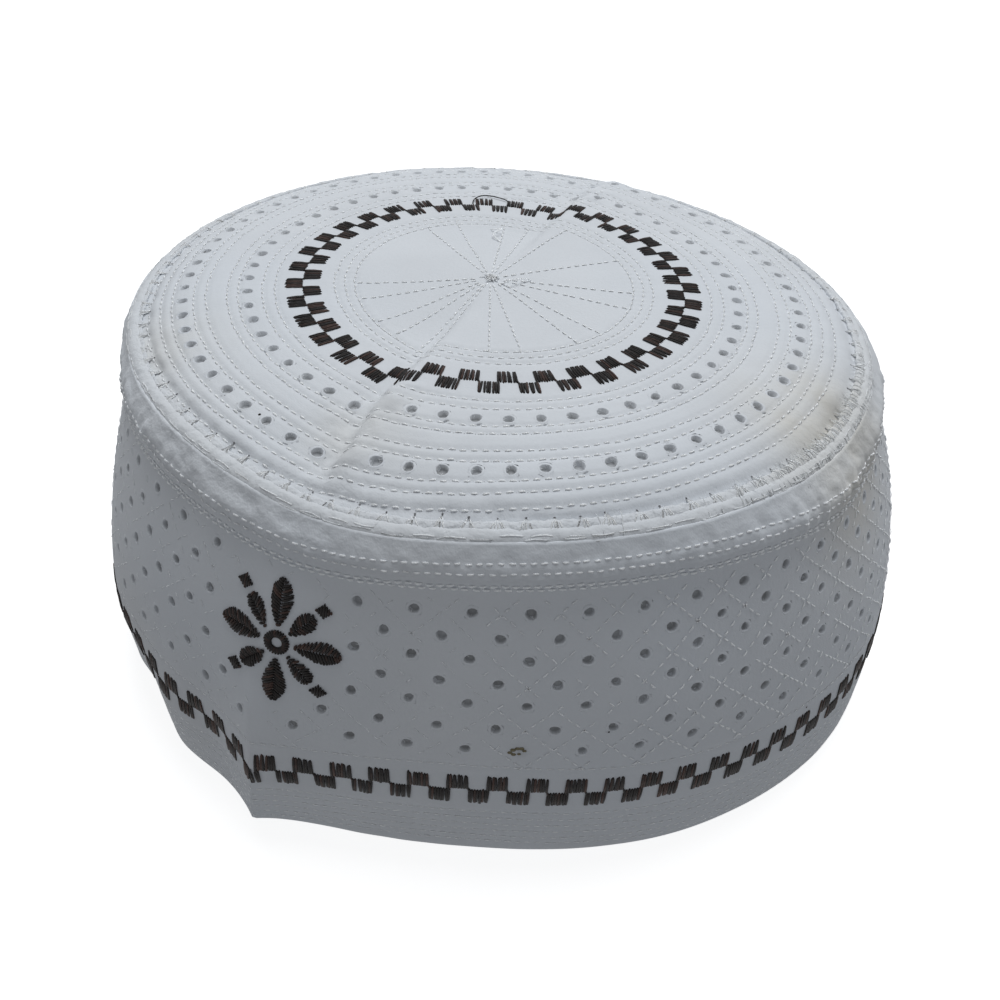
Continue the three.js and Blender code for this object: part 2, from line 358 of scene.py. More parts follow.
class CapForm:
    """The cap's outer faces as functions of a direction and a radius or a level."""

    def __init__(self, cap, stitch):
        self.cap = cap
        self.stitch = stitch
        self.middle = np.zeros(3)
        around = np.arange(0.0, 360.0, 0.5)
        edge = self.seam_radius(around) - cap.seam_width / 2 - cap.seam_gap
        turn = np.radians(around)
        outline = np.stack([edge * np.cos(turn), edge * np.sin(turn)], axis=-1)
        low, high = (np.array(corner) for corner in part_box("crown_top"))
        self.middle[:2] = (low + high)[:2] / 2 - (outline.min(axis=0) + outline.max(axis=0)) / 2

    def seam_radius(self, degrees):
        """The crown's radius times the plan's share."""
        return self.cap.crown_radius * round_table(PLAN, "seam", degrees)

    def fold_height(self, radius, degrees):
        """For each half of the fold: height times a smooth start along the fold, times the high
        side's rise or the low side's drop, each fading with the distance across the fold."""
        cap = self.cap
        height = 0.0
        for fold in CROWN_FOLD:
            turn = np.radians(turn_between(degrees, fold["angle"]))
            along = radius * np.cos(turn)
            across = radius * np.sin(turn) * fold["hand"]
            depth = smoothstep(along, 0.0, cap.fold_start * cap.crown_radius)
            high = 0.5 + 0.5 * np.tanh(across / (cap.fold_step * cap.crown_radius))
            rise = fold["rise"] * np.exp(-np.abs(across) / (fold["high_width"] * cap.crown_radius))
            drop = fold["drop"] * np.exp(-np.abs(across) / (fold["low_width"] * cap.crown_radius))
            height = height + cap.cap_height * depth * (high * rise - (1.0 - high) * drop)
        return height

    def crown_height(self, radius, degrees):
        """Height less a dome that grows with the square of the radius share, less a late fall
        with its twelfth power, plus the fold's step, less the slumps of the edge."""
        cap = self.cap
        share = radius / self.seam_radius(degrees)
        height = cap.cap_height - cap.dome_drop * share ** 2 - cap.edge_drop * share ** cap.fall_power
        height = height + self.fold_height(radius, degrees) * (1 - smoothstep(share, cap.fold_fade, 1.0))
        for slump in EDGE_SLUMPS:
            fall = cap.cap_height * slump["fall"] * bell_turn(degrees, slump["angle"], slump["half_width"])
            height = height - fall * smoothstep(share, slump["start"], 1.0)
        return height

    def place(self, radius, degrees, height):
        """Round coordinates about the crown's middle made into points."""
        turn = np.radians(degrees)
        flat = np.stack(np.broadcast_arrays(radius * np.cos(turn), radius * np.sin(turn), height), axis=-1)
        return flat + self.middle

    def crown_base(self, degrees, radius):
        """A point of the crown's outer face before any quilting."""
        return self.place(radius, degrees, self.crown_height(radius, degrees))

    def band_base(self, degrees, level):
        """A straight line from seam to hem, plus the padded roll as a bell curve of the level,
        the belly as half a sine, the fold's corners falling off with the angle, less the dents."""
        cap = self.cap
        top = self.seam_radius(degrees) + cap.seam_width / 2 + cap.seam_gap
        hem = cap.hem_radius * round_table(PLAN, "hem", degrees)
        bell = np.exp(-((level - cap.roll_level) / cap.roll_spread) ** 2)
        start = math.exp(-(cap.roll_level / cap.roll_spread) ** 2)
        radius = top + (hem - top) * level + cap.roll_proud * (bell - start * (1 - level))
        radius = radius + cap.belly * np.sin(math.pi * level)
        for rows in (FRONT_CORNER, BACK_CORNER):
            turn = turn_between(degrees, level_table(rows, "angle", level))
            out = cap.hem_radius * level_table(rows, "out", level)
            radius = radius + out * np.exp(-np.abs(turn) / level_table(rows, "spread", level))
        held = np.minimum(1.0, level / cap.roll_level)
        for dent in DENTS:
            turn = turn_between(degrees, dent["angle"]) / dent["half_width"]
            lift = (level - dent["level"]) / dent["half_height"]
            radius = radius - cap.hem_radius * dent["depth"] * held * np.exp(-turn * turn - lift * lift)
        height = self.crown_height(self.seam_radius(degrees), degrees) * (1 - level)
        return self.place(radius, degrees, height)

    def sewn(self, degrees, rows):
        """How far rows pull the cloth down, and how near it is to their needle holes: the
        greatest of the rows' bell curves, and of these times a squared raised cosine of the
        direction. Each row gives the distance from it and its radius."""
        pulled = holes = 0.0
        for distance, radius in rows:
            bell = np.exp(-(distance / self.stitch.pull) ** 2)
            count = stitch_count(2 * math.pi * radius, self.stitch.pitch)
            pulled = np.maximum(pulled, bell)
            holes = np.maximum(holes, bell * (0.5 + 0.5 * np.cos(np.radians(degrees) * count)) ** 2)
        return pulled, holes

    def crown_relief(self, degrees, radius, points):
        """Rise between the stitched rings, which each pull the cloth down in a bell-shaped
        groove, deeper at each needle hole, plus soft ripples that are stronger at the fold."""
        quilted = smoothstep(radius, 27.5 * MM, 30.5 * MM)
        pulled, holes = self.sewn(degrees, ((radius - ring * MM, ring * MM) for ring in CROWN_ROWS_MM))
        relief = self.stitch.puff * (0.35 + 0.65 * quilted) * (1 - pulled) - 0.16 * MM * holes
        crease = 0.0
        for fold in CROWN_FOLD:
            turn = np.radians(turn_between(degrees, fold["angle"]))
            near = np.exp(-(radius * np.sin(turn) / (7.5 * MM)) ** 2) * (np.cos(turn) > 0)
            crease = crease + near * smoothstep(radius, 34 * MM, 52 * MM)
        relief = relief + 0.62 * MM * crease * (ripple(points, 9 * MM, 3) + 0.6 * ripple(points, 4 * MM, 7))
        relief = relief + 0.20 * MM * ripple(points, 34 * MM, 1)
        relief = relief + (0.03 + 0.06 * quilted) * MM * ripple(points, 6 * MM, 2)
        rim = smoothstep(radius, 64 * MM, 76 * MM)
        left = bell_turn(degrees, 225, 40)
        relief = relief + (0.10 + 0.16 * left) * MM * rim * ripple(points, 6.0 * MM, 5)
        # The cloth falls towards the ridge, most at the front, and is pulled into a groove by the
        # whipping's holes.
        inside = self.seam_radius(degrees) - radius
        front = bell_turn(degrees, 281, 20)
        near = 1 - np.clip((inside - 2.2 * MM) / (7.0 * MM), 0.0, 1.0)
        relief = relief - (0.25 + 0.75 * front) * MM * near ** 2
        relief = relief - 0.28 * MM * np.exp(-((inside - 2.7 * MM) / (0.7 * MM)) ** 2)
        gathered = 1 - smoothstep(inside, 2.0 * MM, 5.0 * MM)
        return relief + gathered * MM * (0.16 + 0.20 * left) * ripple(points, 3.4 * MM, 6)

    def band_relief(self, degrees, level, points):
        """Rise between the stitched rows, pulled down in a bell-shaped groove at each row, with
        upright wrinkles and crumples on the padded roll and soft ripples all over."""
        tall = self.cap.cap_height * BAND_TALL
        pulled, holes = self.sewn(degrees, (((level - self.row_level(row, degrees)) * tall,
                                             self.cap.hem_radius) for row in BAND_ROWS + HEM_ROWS))
        relief = self.stitch.puff * (1 - pulled) - 0.06 * MM * holes
        roll = smoothstep(level, 0.005, 0.03) * (1 - smoothstep(level, 0.085, 0.13))
        squeezed = points * np.array([1.0, 1.0, 0.3])
        upright = ripple(squeezed, 4.4 * MM, 11) + 0.7 * ripple(squeezed, 2.2 * MM, 12)
        crumple = ripple(points, 5.0 * MM, 16) + 0.7 * ripple(points, 2.6 * MM, 17)
        old = bell_turn(degrees, 324, 20)
        left = bell_turn(degrees, 222, 34)
        relief = relief + roll * MM * ((0.10 + 0.34 * old) * upright + (0.16 + 0.20 * left) * crumple)
        # The top leans out a little, and its rim is tucked in under the seam's lip.
        relief = relief + 0.18 * MM * (1 - smoothstep(level, 0.0, 0.030))
        relief = relief - 0.45 * MM * (1 - smoothstep(level, 0.0, 0.003))
        relief = relief + 0.20 * MM * ripple(points, 38 * MM, 13) + 0.04 * MM * ripple(points, 7 * MM, 14)
        return relief

    def face(self, base, relief, degrees, second, step):
        """A displaced face: base point plus its relief along the normal, which is the cross
        product of the two tangents taken by small differences. Gives the points, the tangent
        round the cap, the tangent along the second parameter and the normal."""
        degrees = np.asarray(degrees, float)
        second = np.asarray(second, float)
        points = base(degrees, second)
        along = unit(base(degrees + 0.05, second) - base(degrees - 0.05, second))
        down = unit(base(degrees, second + step) - base(degrees, second - step))
        normal = unit(np.cross(down, along))
        return points + normal * relief(degrees, second, points)[..., None], along, down, normal

    def crown_face(self, degrees, radius):
        """The crown's face at directions and radii."""
        return self.face(self.crown_base, self.crown_relief, degrees, radius, 0.1 * MM)

    def band_face(self, degrees, level):
        """The band's face at directions and levels."""
        return self.face(self.band_base, self.band_relief, degrees, level, 0.002)

    def row_level(self, row, degrees):
        """Where a sewn row really runs: its level plus the stray of its part of the band."""
        low = smoothstep(row, 0.2, 0.6)
        return row + (round_table(ROW_STRAY, "top", degrees) * (1 - low)
                      + round_table(ROW_STRAY, "low", degrees) * low)

    def spans(self, base, degrees, second, step):
        """How many degrees, and how much of the second parameter, make a metre on a face."""
        turn = np.linalg.norm(base(degrees + 0.05, second) - base(degrees - 0.05, second), axis=-1)
        fall = np.linalg.norm(base(degrees, second + step) - base(degrees, second - step), axis=-1)
        return 0.1 / turn, 2 * step / fall

    def band_run(self, first, level):
        """Directions a quarter of a degree apart once round the band, with the length run
        there from the first: the sum of the straight steps between them."""
        fine = np.linspace(first, first + 360.0, 1441)
        steps = np.diff(self.band_base(fine, np.full_like(fine, level)), axis=0)
        return fine, np.concatenate([[0.0], np.cumsum(np.linalg.norm(steps, axis=1))])

    def band_columns(self, count, first, level):
        """Directions of evenly sewn columns: equal steps of the length round the band."""
        fine, run = self.band_run(first, level)
        return np.interp(np.arange(count) / count * run[-1], run, fine)


def stitch_count(length, pitch):
    """How many whole stitches fit a closed row."""
    return max(int(round(length / pitch)), 3)


def crown_eyelets():
    """Directions and radii of the crown's eyelets, without the two that the fold swallows."""
    places = []
    for ring in EYELET_RINGS:
        index = np.array([k for k in range(ring["count"]) if k != ring["missing"]])
        degrees = ring["first"] + index * 360.0 / ring["count"]
        places.append(np.stack([degrees, np.full(len(index), ring["radius_mm"] * MM)], axis=-1))
    return np.concatenate(places)


def rosette_clear(form, degrees, level):
    """True outside the rosette's place: an upright ellipse about its middle."""
    across = np.radians(turn_between(degrees, ROSETTE["angle"])) * form.cap.hem_radius
    up = (level - ROSETTE["level"]) * form.cap.cap_height
    reach = ROSETTE["clear_mm"] * MM
    return (across / reach) ** 2 + (up / (1.06 * reach)) ** 2 > 1.0


def band_eyelets(form):
    """Directions and levels of the band's eyelets: even columns, every second row half a step
    on, none under the rosette and none where the stain has closed one."""
    places = []
    for row, level in enumerate(EYELET_LEVELS):
        columns = form.band_columns(2 * EYELET_COLUMNS, EYELET_FIRST, 0.375)[row % 2::2]
        places.append(np.stack([columns, np.full(len(columns), level)], axis=-1))
    places = np.concatenate(places)
    stained = np.abs(turn_between(places[:, 0], BAND_STAIN[0]["angle"])) < 2.2
    stained = stained & (np.abs(places[:, 1] - BAND_STAIN[0]["level"]) < 0.02)
    return places[rosette_clear(form, places[:, 0], places[:, 1]) & ~stained]


def nearest_centre(points, centres):
    """The nearest centre to each point and its distance, from the table of all squared
    distances, worked out as squares less twice the products."""
    p = points / MM
    c = centres / MM
    square = (c ** 2).sum(axis=1) - 2 * p @ c.T
    nearest = centres[square.argmin(axis=1)]
    return nearest, np.linalg.norm(points - nearest, axis=1)


def sink_pits(points, normal, centres, stitch, inset, reach):
    """Makes room for the eyelets: points further than inset inside a mouth sink below the
    eyelet's floor, and those from there to reach outside it are drawn to one circle round it.
    Gives the points and which sank."""
    shape = points.shape
    flat = points.reshape(-1, 3)
    up = normal.reshape(-1, 3)
    nearest, distance = nearest_centre(flat, centres)
    inside = distance < stitch.eyelet - inset
    beside = (distance >= stitch.eyelet - inset) & (distance < stitch.eyelet + reach)
    away = flat - nearest
    rim = stitch.eyelet + 0.36 * MM
    drawn = nearest + away * (rim / np.maximum(distance, 1e-9))[:, None]
    flat = np.where(beside[:, None], drawn, flat)
    sunk = flat - up * (stitch.eyelet_depth + 0.85 * MM)
    return np.where(inside[:, None], sunk, flat).reshape(shape), inside


# Meshes from arrays

def grid_faces(rows, columns, closed_rows=False):
    """Quads of a grid that closes round its columns, and round its rows too if asked."""
    i = np.arange(rows if closed_rows else rows - 1)[:, None]
    j = np.arange(columns)[None, :]
    up = (i + 1) % rows
    on = (j + 1) % columns
    quads = [i * columns + j, up * columns + j, up * columns + on, i * columns + on]
    return np.stack(np.broadcast_arrays(*quads), axis=-1).reshape(-1, 4)


def filled(part, count):
    """A value for each of count points: those given, then zeros."""
    whole = np.zeros(count, part.dtype)
    whole[:part.size] = part.ravel()
    return whole


def repeated(faces, count, each):
    """The faces of one shape repeated for a count of like shapes with so many points each."""
    shift = each * np.arange(count)[:, None, None]
    return (faces[None] + shift).reshape(-1, faces.shape[1])


def fan_faces(rim, centre, upright=True):
    """Triangles from a centre to each edge of a closed rim, turned over if not upright."""
    on = np.roll(rim, -1)
    return np.stack([np.full_like(rim, centre)] + ([rim, on] if upright else [on, rim]), axis=-1)


def add_piece(name, points, quads, triangles, material, values=None, replaces=(), sunk=None):
    """A mesh object from whole arrays, smooth shaded, riding on the cap's one body. The edges of
    quads that touch a sunk point are sharp, so that a pit doesn't shade the cloth round it."""
    mesh = bpy.data.meshes.new(name)
    quads = np.asarray(quads, np.int32).reshape(-1, 4)
    triangles = np.asarray(triangles, np.int32).reshape(-1, 3)
    corners = np.concatenate([quads.ravel(), triangles.ravel()])
    starts = np.concatenate([np.arange(len(quads)) * 4, 4 * len(quads) + np.arange(len(triangles)) * 3])
    mesh.vertices.add(len(points))
    mesh.vertices.foreach_set("co", np.ascontiguousarray(points, np.float32).ravel())
    mesh.loops.add(len(corners))
    mesh.loops.foreach_set("vertex_index", corners.astype(np.int32))
    mesh.polygons.add(len(starts))
    mesh.polygons.foreach_set("loop_start", starts.astype(np.int32))
    mesh.update(calc_edges=True)
    mesh.polygons.foreach_set("use_smooth", np.ones(len(starts), bool))
    if sunk is not None:
        edges = np.zeros(len(corners), np.int32)
        mesh.loops.foreach_get("edge_index", edges)
        pit = sunk[quads].any(axis=1)
        sharp = np.zeros(len(mesh.edges), bool)
        sharp[edges[:4 * len(quads)].reshape(-1, 4)[pit].ravel()] = True
        mesh.attributes.new("sharp_edge", "BOOLEAN", "EDGE").data.foreach_set("value", sharp)
    for key, value in (values or {}).items():
        layer = mesh.attributes.new(key, "FLOAT", "POINT")
        layer.data.foreach_set("value", np.ascontiguousarray(value, np.float32).ravel())
    if mesh.validate():
        raise RuntimeError("the mesh of " + name + " had faults")
    mesh.materials.append(material)
    piece = bpy.data.objects.new(name, mesh)
    bpy.context.scene.collection.objects.link(piece)
    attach(piece, "root")
    if replaces:
        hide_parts(*replaces)
    return piece


def strand_arrays(paths, ups, radius, sides, flat):
    """Closed strands along many paths at once. Each inner point of a path carries a ring of
    sides points, at radius times the cosine along the side vector and radius times flat times
    the sine along the up vector; both ends close in a single point. Gives points, quads,
    triangles and the place along the strand from 0 to 1."""
    paths = np.asarray(paths, float)
    n, k, _ = paths.shape
    radius = np.broadcast_to(np.asarray(radius, float), (n, k))
    tangent = unit(np.gradient(paths, axis=1))
    side = unit(np.cross(tangent, np.broadcast_to(ups, paths.shape)))
    lift = np.cross(side, tangent)
    turn = 2 * math.pi * np.arange(sides) / sides
    ring = (paths[:, 1:-1, None]
            + radius[:, 1:-1, None, None] * (side[:, 1:-1, None] * np.cos(turn)[:, None]
                                             + flat * lift[:, 1:-1, None] * np.sin(turn)[:, None]))
    points = np.concatenate([paths[:, :1], ring.reshape(n, -1, 3), paths[:, -1:]], axis=1)
    each = points.shape[1]
    rim = 1 + np.arange(sides)
    fans = np.concatenate([fan_faces(rim, 0), fan_faces((k - 3) * sides + rim, each - 1, False)])
    place = np.concatenate([[0.0], np.repeat(np.arange(1, k - 1) / (k - 1), sides), [1.0]])
    return (points.reshape(-1, 3), repeated(1 + grid_faces(k - 2, sides), n, each),
            repeated(fans, n, each), np.tile(place, n))


def add_strands(name, groups, slot, seed):
    """One piece of white or dark thread, as the slot says, from several groups of strands. Each
    strand has its own random tint, and each point its place along the strand."""
    draw = np.random.default_rng(seed)
    points, quads, triangles, places, tints = [], [], [], [], []
    base = 0
    for paths, ups, radius, sides, flat in groups:
        p, q, t, place = strand_arrays(paths, ups, radius, sides, flat)
        points.append(p)
        quads.append(q + base)
        triangles.append(t + base)
        places.append(place)
        tints.append(np.repeat(draw.uniform(0, 1, len(paths)), len(p) // len(paths)))
        base += len(p)
    values = {"along": np.concatenate(places), "tint": np.concatenate(tints)}
    thread = {"white_thread": white_thread, "dark_thread": dark_thread}[slot]
    return add_piece(name, np.concatenate(points), np.concatenate(quads), np.concatenate(triangles),
                     thread(), values)


def stitch_group(face, starts, ends, seconds_start, seconds_end, radius, lift=1.0, flat=0.36):
    """Stitches on a face, each an arch between two needle holes: five points along it, the ends
    under the cloth and the middle above it."""
    points, _, _, normal = face(between(starts[:, None], ends[:, None], STITCH_PLACES),
                                between(seconds_start[:, None], seconds_end[:, None], STITCH_PLACES))
    rise = np.array([-0.22, 0.09, 0.15, 0.09, -0.22]) * MM * lift
    return points + normal * rise[:, None], normal, radius * STITCH_SWELL, 5, flat


# Materials

class Sock:
    """A shader socket that takes part in Python sums: each operator adds a Math node."""

    def __init__(self, nodes, socket):
        self.nodes = nodes
        self.socket = socket

    def _math(self, operation, other=None, swap=False):
        first, second = (other, self) if swap else (self, other)
        sockets = {0: first}
        if second is not None:
            sockets[1] = second
        return self.nodes.add("ShaderNodeMath", {"operation": operation}, sockets)

    def __add__(self, other):
        return self._math("ADD", other)

    __radd__ = __add__

    def __sub__(self, other):
        return self._math("SUBTRACT", other)

    def __rsub__(self, other):
        return self._math("SUBTRACT", other, True)

    def __mul__(self, other):
        return self._math("MULTIPLY", other)

    __rmul__ = __mul__

    def sine(self):
        """The sine of the socket."""
        return self.nodes.add("ShaderNodeMath", {"operation": "SINE"}, {0: self})


class Nodes:
    """A material's node tree with one method that adds any node."""

    def __init__(self, name):
        self.material = bpy.data.materials.new(name)
        self.material.use_nodes = True
        self.tree = self.material.node_tree
        self.shader = next(n for n in self.tree.nodes if n.type == "BSDF_PRINCIPLED")

    def feed(self, node, sockets):
        """Gives sockets their values or links."""
        for key, value in sockets.items():
            target = node.inputs[key]
            if isinstance(value, Sock):
                self.tree.links.new(value.socket, target)
            else:
                target.default_value = value

    def add(self, kind, settings=None, sockets=None, output=0):
        """A node of any type: settings first, then the values or links of its sockets."""
        node = self.tree.nodes.new(kind)
        for key, value in (settings or {}).items():
            setattr(node, key, value)
        self.feed(node, sockets or {})
        return Sock(self, node.outputs[output])

    def attribute(self, name):
        """A number stored on the piece's points."""
        return self.add("ShaderNodeAttribute", {"attribute_name": name}, output="Fac")

    def place(self):
        """Object coordinates."""
        return self.add("ShaderNodeTexCoord", output="Object")

    def noise(self, vector, scale, detail, rough):
        """Smooth noise with so many features to a metre."""
        sockets = {"Vector": vector, "Scale": scale, "Detail": detail, "Roughness": rough}
        return self.add("ShaderNodeTexNoise", None, sockets, "Fac")

    def split(self, vector):
        """The three parts of a vector."""
        return [self.add("ShaderNodeSeparateXYZ", None, {"Vector": vector}, axis) for axis in range(3)]

    def blend(self, factor, first, second):
        """Two colours mixed by a factor."""
        settings = {"data_type": "RGBA", "blend_type": "MIX", "clamp_factor": True}
        return self.add("ShaderNodeMix", settings, {0: factor, 6: first, 7: second}, 2)

    def ramp(self, value, low, high):
        """A number stretched from low..high to 0..1 and kept in it."""
        sockets = {"Value": value, "From Min": low, "From Max": high}
        return self.add("ShaderNodeMapRange", {"clamp": True}, sockets)

    def bump(self, height, distance, strength):
        """A normal tilted by the slope of a height."""
        sockets = {"Height": height, "Distance": distance, "Strength": strength}
        return self.add("ShaderNodeBump", None, sockets)


def rgba(colour):
    """A colour with full alpha."""
    return (colour[0], colour[1], colour[2], 1.0)


def made(name, build):
    """The material of that name, built once."""
    return bpy.data.materials.get(name) or build(name)


def cotton_material(name, weave):
    """Starched cotton: a plain weave of two crossed sets of threads as the product of two sines,
    fine nap and soft mottling, crumpled, yellowed and soiled where the piece's attributes say;
    the same darkening paints shade inside the eyelets' pits."""
    colours = bpy.context.scene.cap_colours
    nodes = Nodes(name)
    here = nodes.place()
    across, along, up = nodes.split(here)
    if weave == "flat":
        warp, weft = across, along
    else:
        warp, weft = nodes.attribute("run"), up
    pattern = (warp * (2 * math.pi / (0.55 * MM))).sine() * (weft * (2 * math.pi / (0.55 * MM))).sine()
    mottle = nodes.noise(here, 55.0, 4.0, 0.55)
    nap = nodes.noise(here, 1400.0, 3.0, 0.6)
    cloud = nodes.noise(here, 16.0, 3.0, 0.5)
    cotton = colours.cotton
    clean = rgba(cotton)
    dim = rgba([c * 0.90 for c in cotton])
    cool = rgba([cotton[0] * 0.955, cotton[1] * 0.975, cotton[2]])
    colour = nodes.blend(nodes.ramp(mottle, 0.35, 0.75) * 0.55, clean, dim)
    colour = nodes.blend(nodes.ramp(cloud, 0.4, 0.7) * 0.6, colour, cool)
    colour = nodes.blend(nodes.ramp(nap, 0.45, 0.8) * 0.22, colour, dim)
    worn = nodes.attribute("worn") * nodes.ramp(mottle, 0.15, 0.55)
    colour = nodes.blend(worn, colour, rgba(colours.yellowed))
    # Darkened towards the soil colour: real soil at marks, and painted shade inside the eyelets' pits.
    colour = nodes.blend(nodes.attribute("soil_and_shade"), colour, rgba(colours.soil_and_pit_shade))
    rough = nodes.ramp(nap, 0.0, 1.0) * 0.12 + 0.80
    height = nap * 0.6 + pattern * 0.02 + mottle * 0.8
    creases = nodes.noise(here, 330.0, 3.0, 0.55) * nodes.attribute("crumpled")
    normal = nodes.bump(height + creases * 6.0, 0.16 * MM, 0.75)
    nodes.feed(nodes.shader, {"Base Color": colour, "Roughness": rough, "Normal": normal,
                              "Sheen Weight": 0.12, "Sheen Roughness": 0.5,
                              "Specular IOR Level": 0.25})
    return nodes.material


def thread_material(name, base, other, share, rough, sheen, glow, shine):
    """Spun thread: plies as a sine along the strand, a tint of its own for each strand and a
    fine nap; the other colour shows in the share of strands with the highest tint. White thread
    lets light through it, by the share in glow."""
    nodes = Nodes(name)
    here = nodes.place()
    tint = nodes.attribute("tint")
    nap = nodes.noise(here, 2600.0, 2.0, 0.6)
    streak = nodes.noise(here, 900.0, 3.0, 0.6)
    chosen = nodes.ramp(tint + streak * 0.8, 1.35 - share, 1.75 - share)
    colour = nodes.blend(chosen, rgba(base), rgba(other))
    colour = nodes.blend(nodes.ramp(nap, 0.3, 0.8) * 0.35, colour, rgba([c * 0.72 for c in base]))
    plies = (nodes.attribute("along") * 26.0).sine()
    normal = nodes.bump(plies * 0.4 + nap, 0.05 * MM, 0.3)
    nodes.feed(nodes.shader, {"Base Color": colour, "Roughness": nodes.ramp(nap, 0.0, 1.0) * 0.15 + rough,
                              "Normal": normal, "Sheen Weight": sheen, "Sheen Roughness": 0.4,
                              "Specular IOR Level": shine, "Subsurface Weight": glow,
                              "Subsurface Radius": (1.0, 1.0, 1.0), "Subsurface Scale": 0.5 * MM})
    return nodes.material


def cotton_flat():
    """Cotton whose weave lies level, for the crown and the seam."""
    return made("crown_cotton", lambda name: cotton_material(name, "flat"))


def cotton_round():
    """Cotton whose weave runs round the band."""
    return made("band_cotton", lambda name: cotton_material(name, "round"))


def white_thread():
    """Sewing thread with a soft sheen."""
    colours = bpy.context.scene.cap_colours
    soft = [c * 0.86 for c in colours.thread]
    return made("sewing_thread", lambda name: thread_material(
        name, colours.thread, soft, share=0.3, rough=0.45, sheen=0.25, glow=0.9, shine=0.3))


def dark_thread():
    """Dark embroidery thread, worn brown here and there."""
    colours = bpy.context.scene.cap_colours
    return made("satin_thread", lambda name: thread_material(
        name, colours.dark, colours.dark_warm, share=0.34, rough=0.55, sheen=0.02, glow=0.0, shine=0.16))


def plain_material(name, colour):
    """A small dark mark with a mottled colour."""
    nodes = Nodes(name)
    spots = nodes.noise(nodes.place(), 900.0, 3.0, 0.6)
    mixed = nodes.blend(nodes.ramp(spots, 0.3, 0.7), rgba(colour), rgba([c * 1.8 for c in colour]))
    nodes.feed(nodes.shader, {"Base Color": mixed, "Roughness": 0.9, "Specular IOR Level": 0.2})
    return nodes.material


def floor_material(name):
    """Matt pale floor with a faint glow of its own, so that it reads as a white sweep."""
    nodes = Nodes(name)
    grain = nodes.noise(nodes.place(), 30.0, 2.0, 0.5)
    base = rgba(bpy.context.scene.cap_colours.floor)
    colour = nodes.blend(nodes.ramp(grain, 0.3, 0.7) * 0.1, base, rgba([c * 0.97 for c in base[:3]]))
    nodes.feed(nodes.shader, {"Base Color": colour, "Roughness": 0.9, "Specular IOR Level": 0.1,
                              "Emission Color": (1.0, 1.0, 1.0, 1.0), "Emission Strength": 0.82})
    return nodes.material


def current_form():
    """The cap's form with the sizes of the scene."""
    scene = bpy.context.scene
    return CapForm(scene.cap_sizes, scene.cap_stitches)


# Operators: the stage and one for each piece or group of like pieces

class CAP_OT_stage(bpy.types.Operator):
    """Sets the floor, the lights and the camera."""

    bl_idname = "cap.stage"
    bl_label = "Stage"

    def floor(self, scene):
        """The sweep: a profile of radius and height turned round the upright axis, flat to a
        metre and then rising in a quarter circle."""
        bend = np.radians(np.linspace(0, 90, 12))
        radius = np.concatenate([[0.15, 0.4, 0.7, 1.0], 1.0 + 0.9 * np.sin(bend[1:]), [1.9]])
        height = np.concatenate([[0.0] * 4, 0.9 * (1 - np.cos(bend[1:])), [2.4]])
        turn = np.radians(np.arange(0, 360, 5.0))
        ring = np.stack(np.broadcast_arrays(radius[:, None] * np.cos(turn), radius[:, None] * np.sin(turn),
                                            height[:, None] - 0.05 * MM), axis=-1)
        points = np.concatenate([ring.reshape(-1, 3), [[0, 0, -0.05 * MM]]])
        quads = grid_faces(len(radius), len(turn))
        fan = fan_faces(np.arange(len(turn)), len(points) - 1)
        mesh = bpy.data.meshes.new("studio_sweep")
        mesh.from_pydata(points, [], quads.tolist() + fan.tolist())
        mesh.polygons.foreach_set("use_smooth", np.ones(len(mesh.polygons), bool))
        mesh.materials.append(floor_material("studio_floor"))
        floor = bpy.data.objects.new("studio_sweep", mesh)
        scene.collection.objects.link(floor)
        floor.visible_diffuse = False
        floor.visible_shadow = False

    def lights(self, scene):
        """Even light from all sides and one soft lamp above, behind the cap."""
        colours = scene.cap_colours
        world = bpy.data.worlds.new("studio_air")
        world.use_nodes = True
        air = world.node_tree.nodes["Background"]
        air.inputs["Color"].default_value = (0.93, 0.96, 1.0, 1.0)
        air.inputs["Strength"].default_value = colours.sky
        scene.world = world

        lamp = bpy.data.lights.new("soft_lamp", "AREA")
        lamp.shape = "DISK"
        lamp.size = 0.75
        lamp.energy = colours.lamp
        lamp.color = (0.95, 0.98, 1.0)
        lamp_object = bpy.data.objects.new("soft_lamp", lamp)
        lamp_object.location = (0.05, 0.30, 1.0)
        aim = Vector((0.0, 0.0, 0.05)) - lamp_object.location
        lamp_object.rotation_euler = aim.to_track_quat("-Z", "Y").to_euler()
        scene.collection.objects.link(lamp_object)

    def camera(self, scene):
        """The camera of the photo, which leans a little to one side."""
        eye = Vector((-5.71, -218.05, 192.53)) * MM
        target = Vector((-1.457, -2.378, 21.93)) * MM
        ahead = (target - eye).normalized()
        right = ahead.cross(Vector((0, 0, 1))).normalized()
        up = right.cross(ahead)
        roll = math.radians(3.740)
        tilted_right = right * math.cos(roll) + up * math.sin(roll)
        tilted_up = up * math.cos(roll) - right * math.sin(roll)
        camera = bpy.data.cameras.new("camera")
        camera.sensor_width = 36.0
        camera.lens = 38.95
        camera.clip_start = 0.01
        camera_object = bpy.data.objects.new("camera", camera)
        turned = Matrix((tilted_right, tilted_up, -ahead)).transposed().to_4x4()
        camera_object.matrix_world = Matrix.Translation(eye) @ turned
        scene.collection.objects.link(camera_object)
        scene.camera = camera_object
        scene.view_settings.view_transform = "Standard"
        scene.view_settings.look = "None"

    def execute(self, context):
        self.floor(context.scene)
        self.lights(context.scene)
        self.camera(context.scene)
        return {"FINISHED"}


def bells(points, marks):
    """Sum of bell curves: each mark gives a middle, a reach and a strength."""
    total = np.zeros(points.shape[:-1])
    for middle, reach, strength in marks:
        total = total + strength * np.exp(-np.sum((points - middle) ** 2, axis=-1) / reach ** 2)
    return total


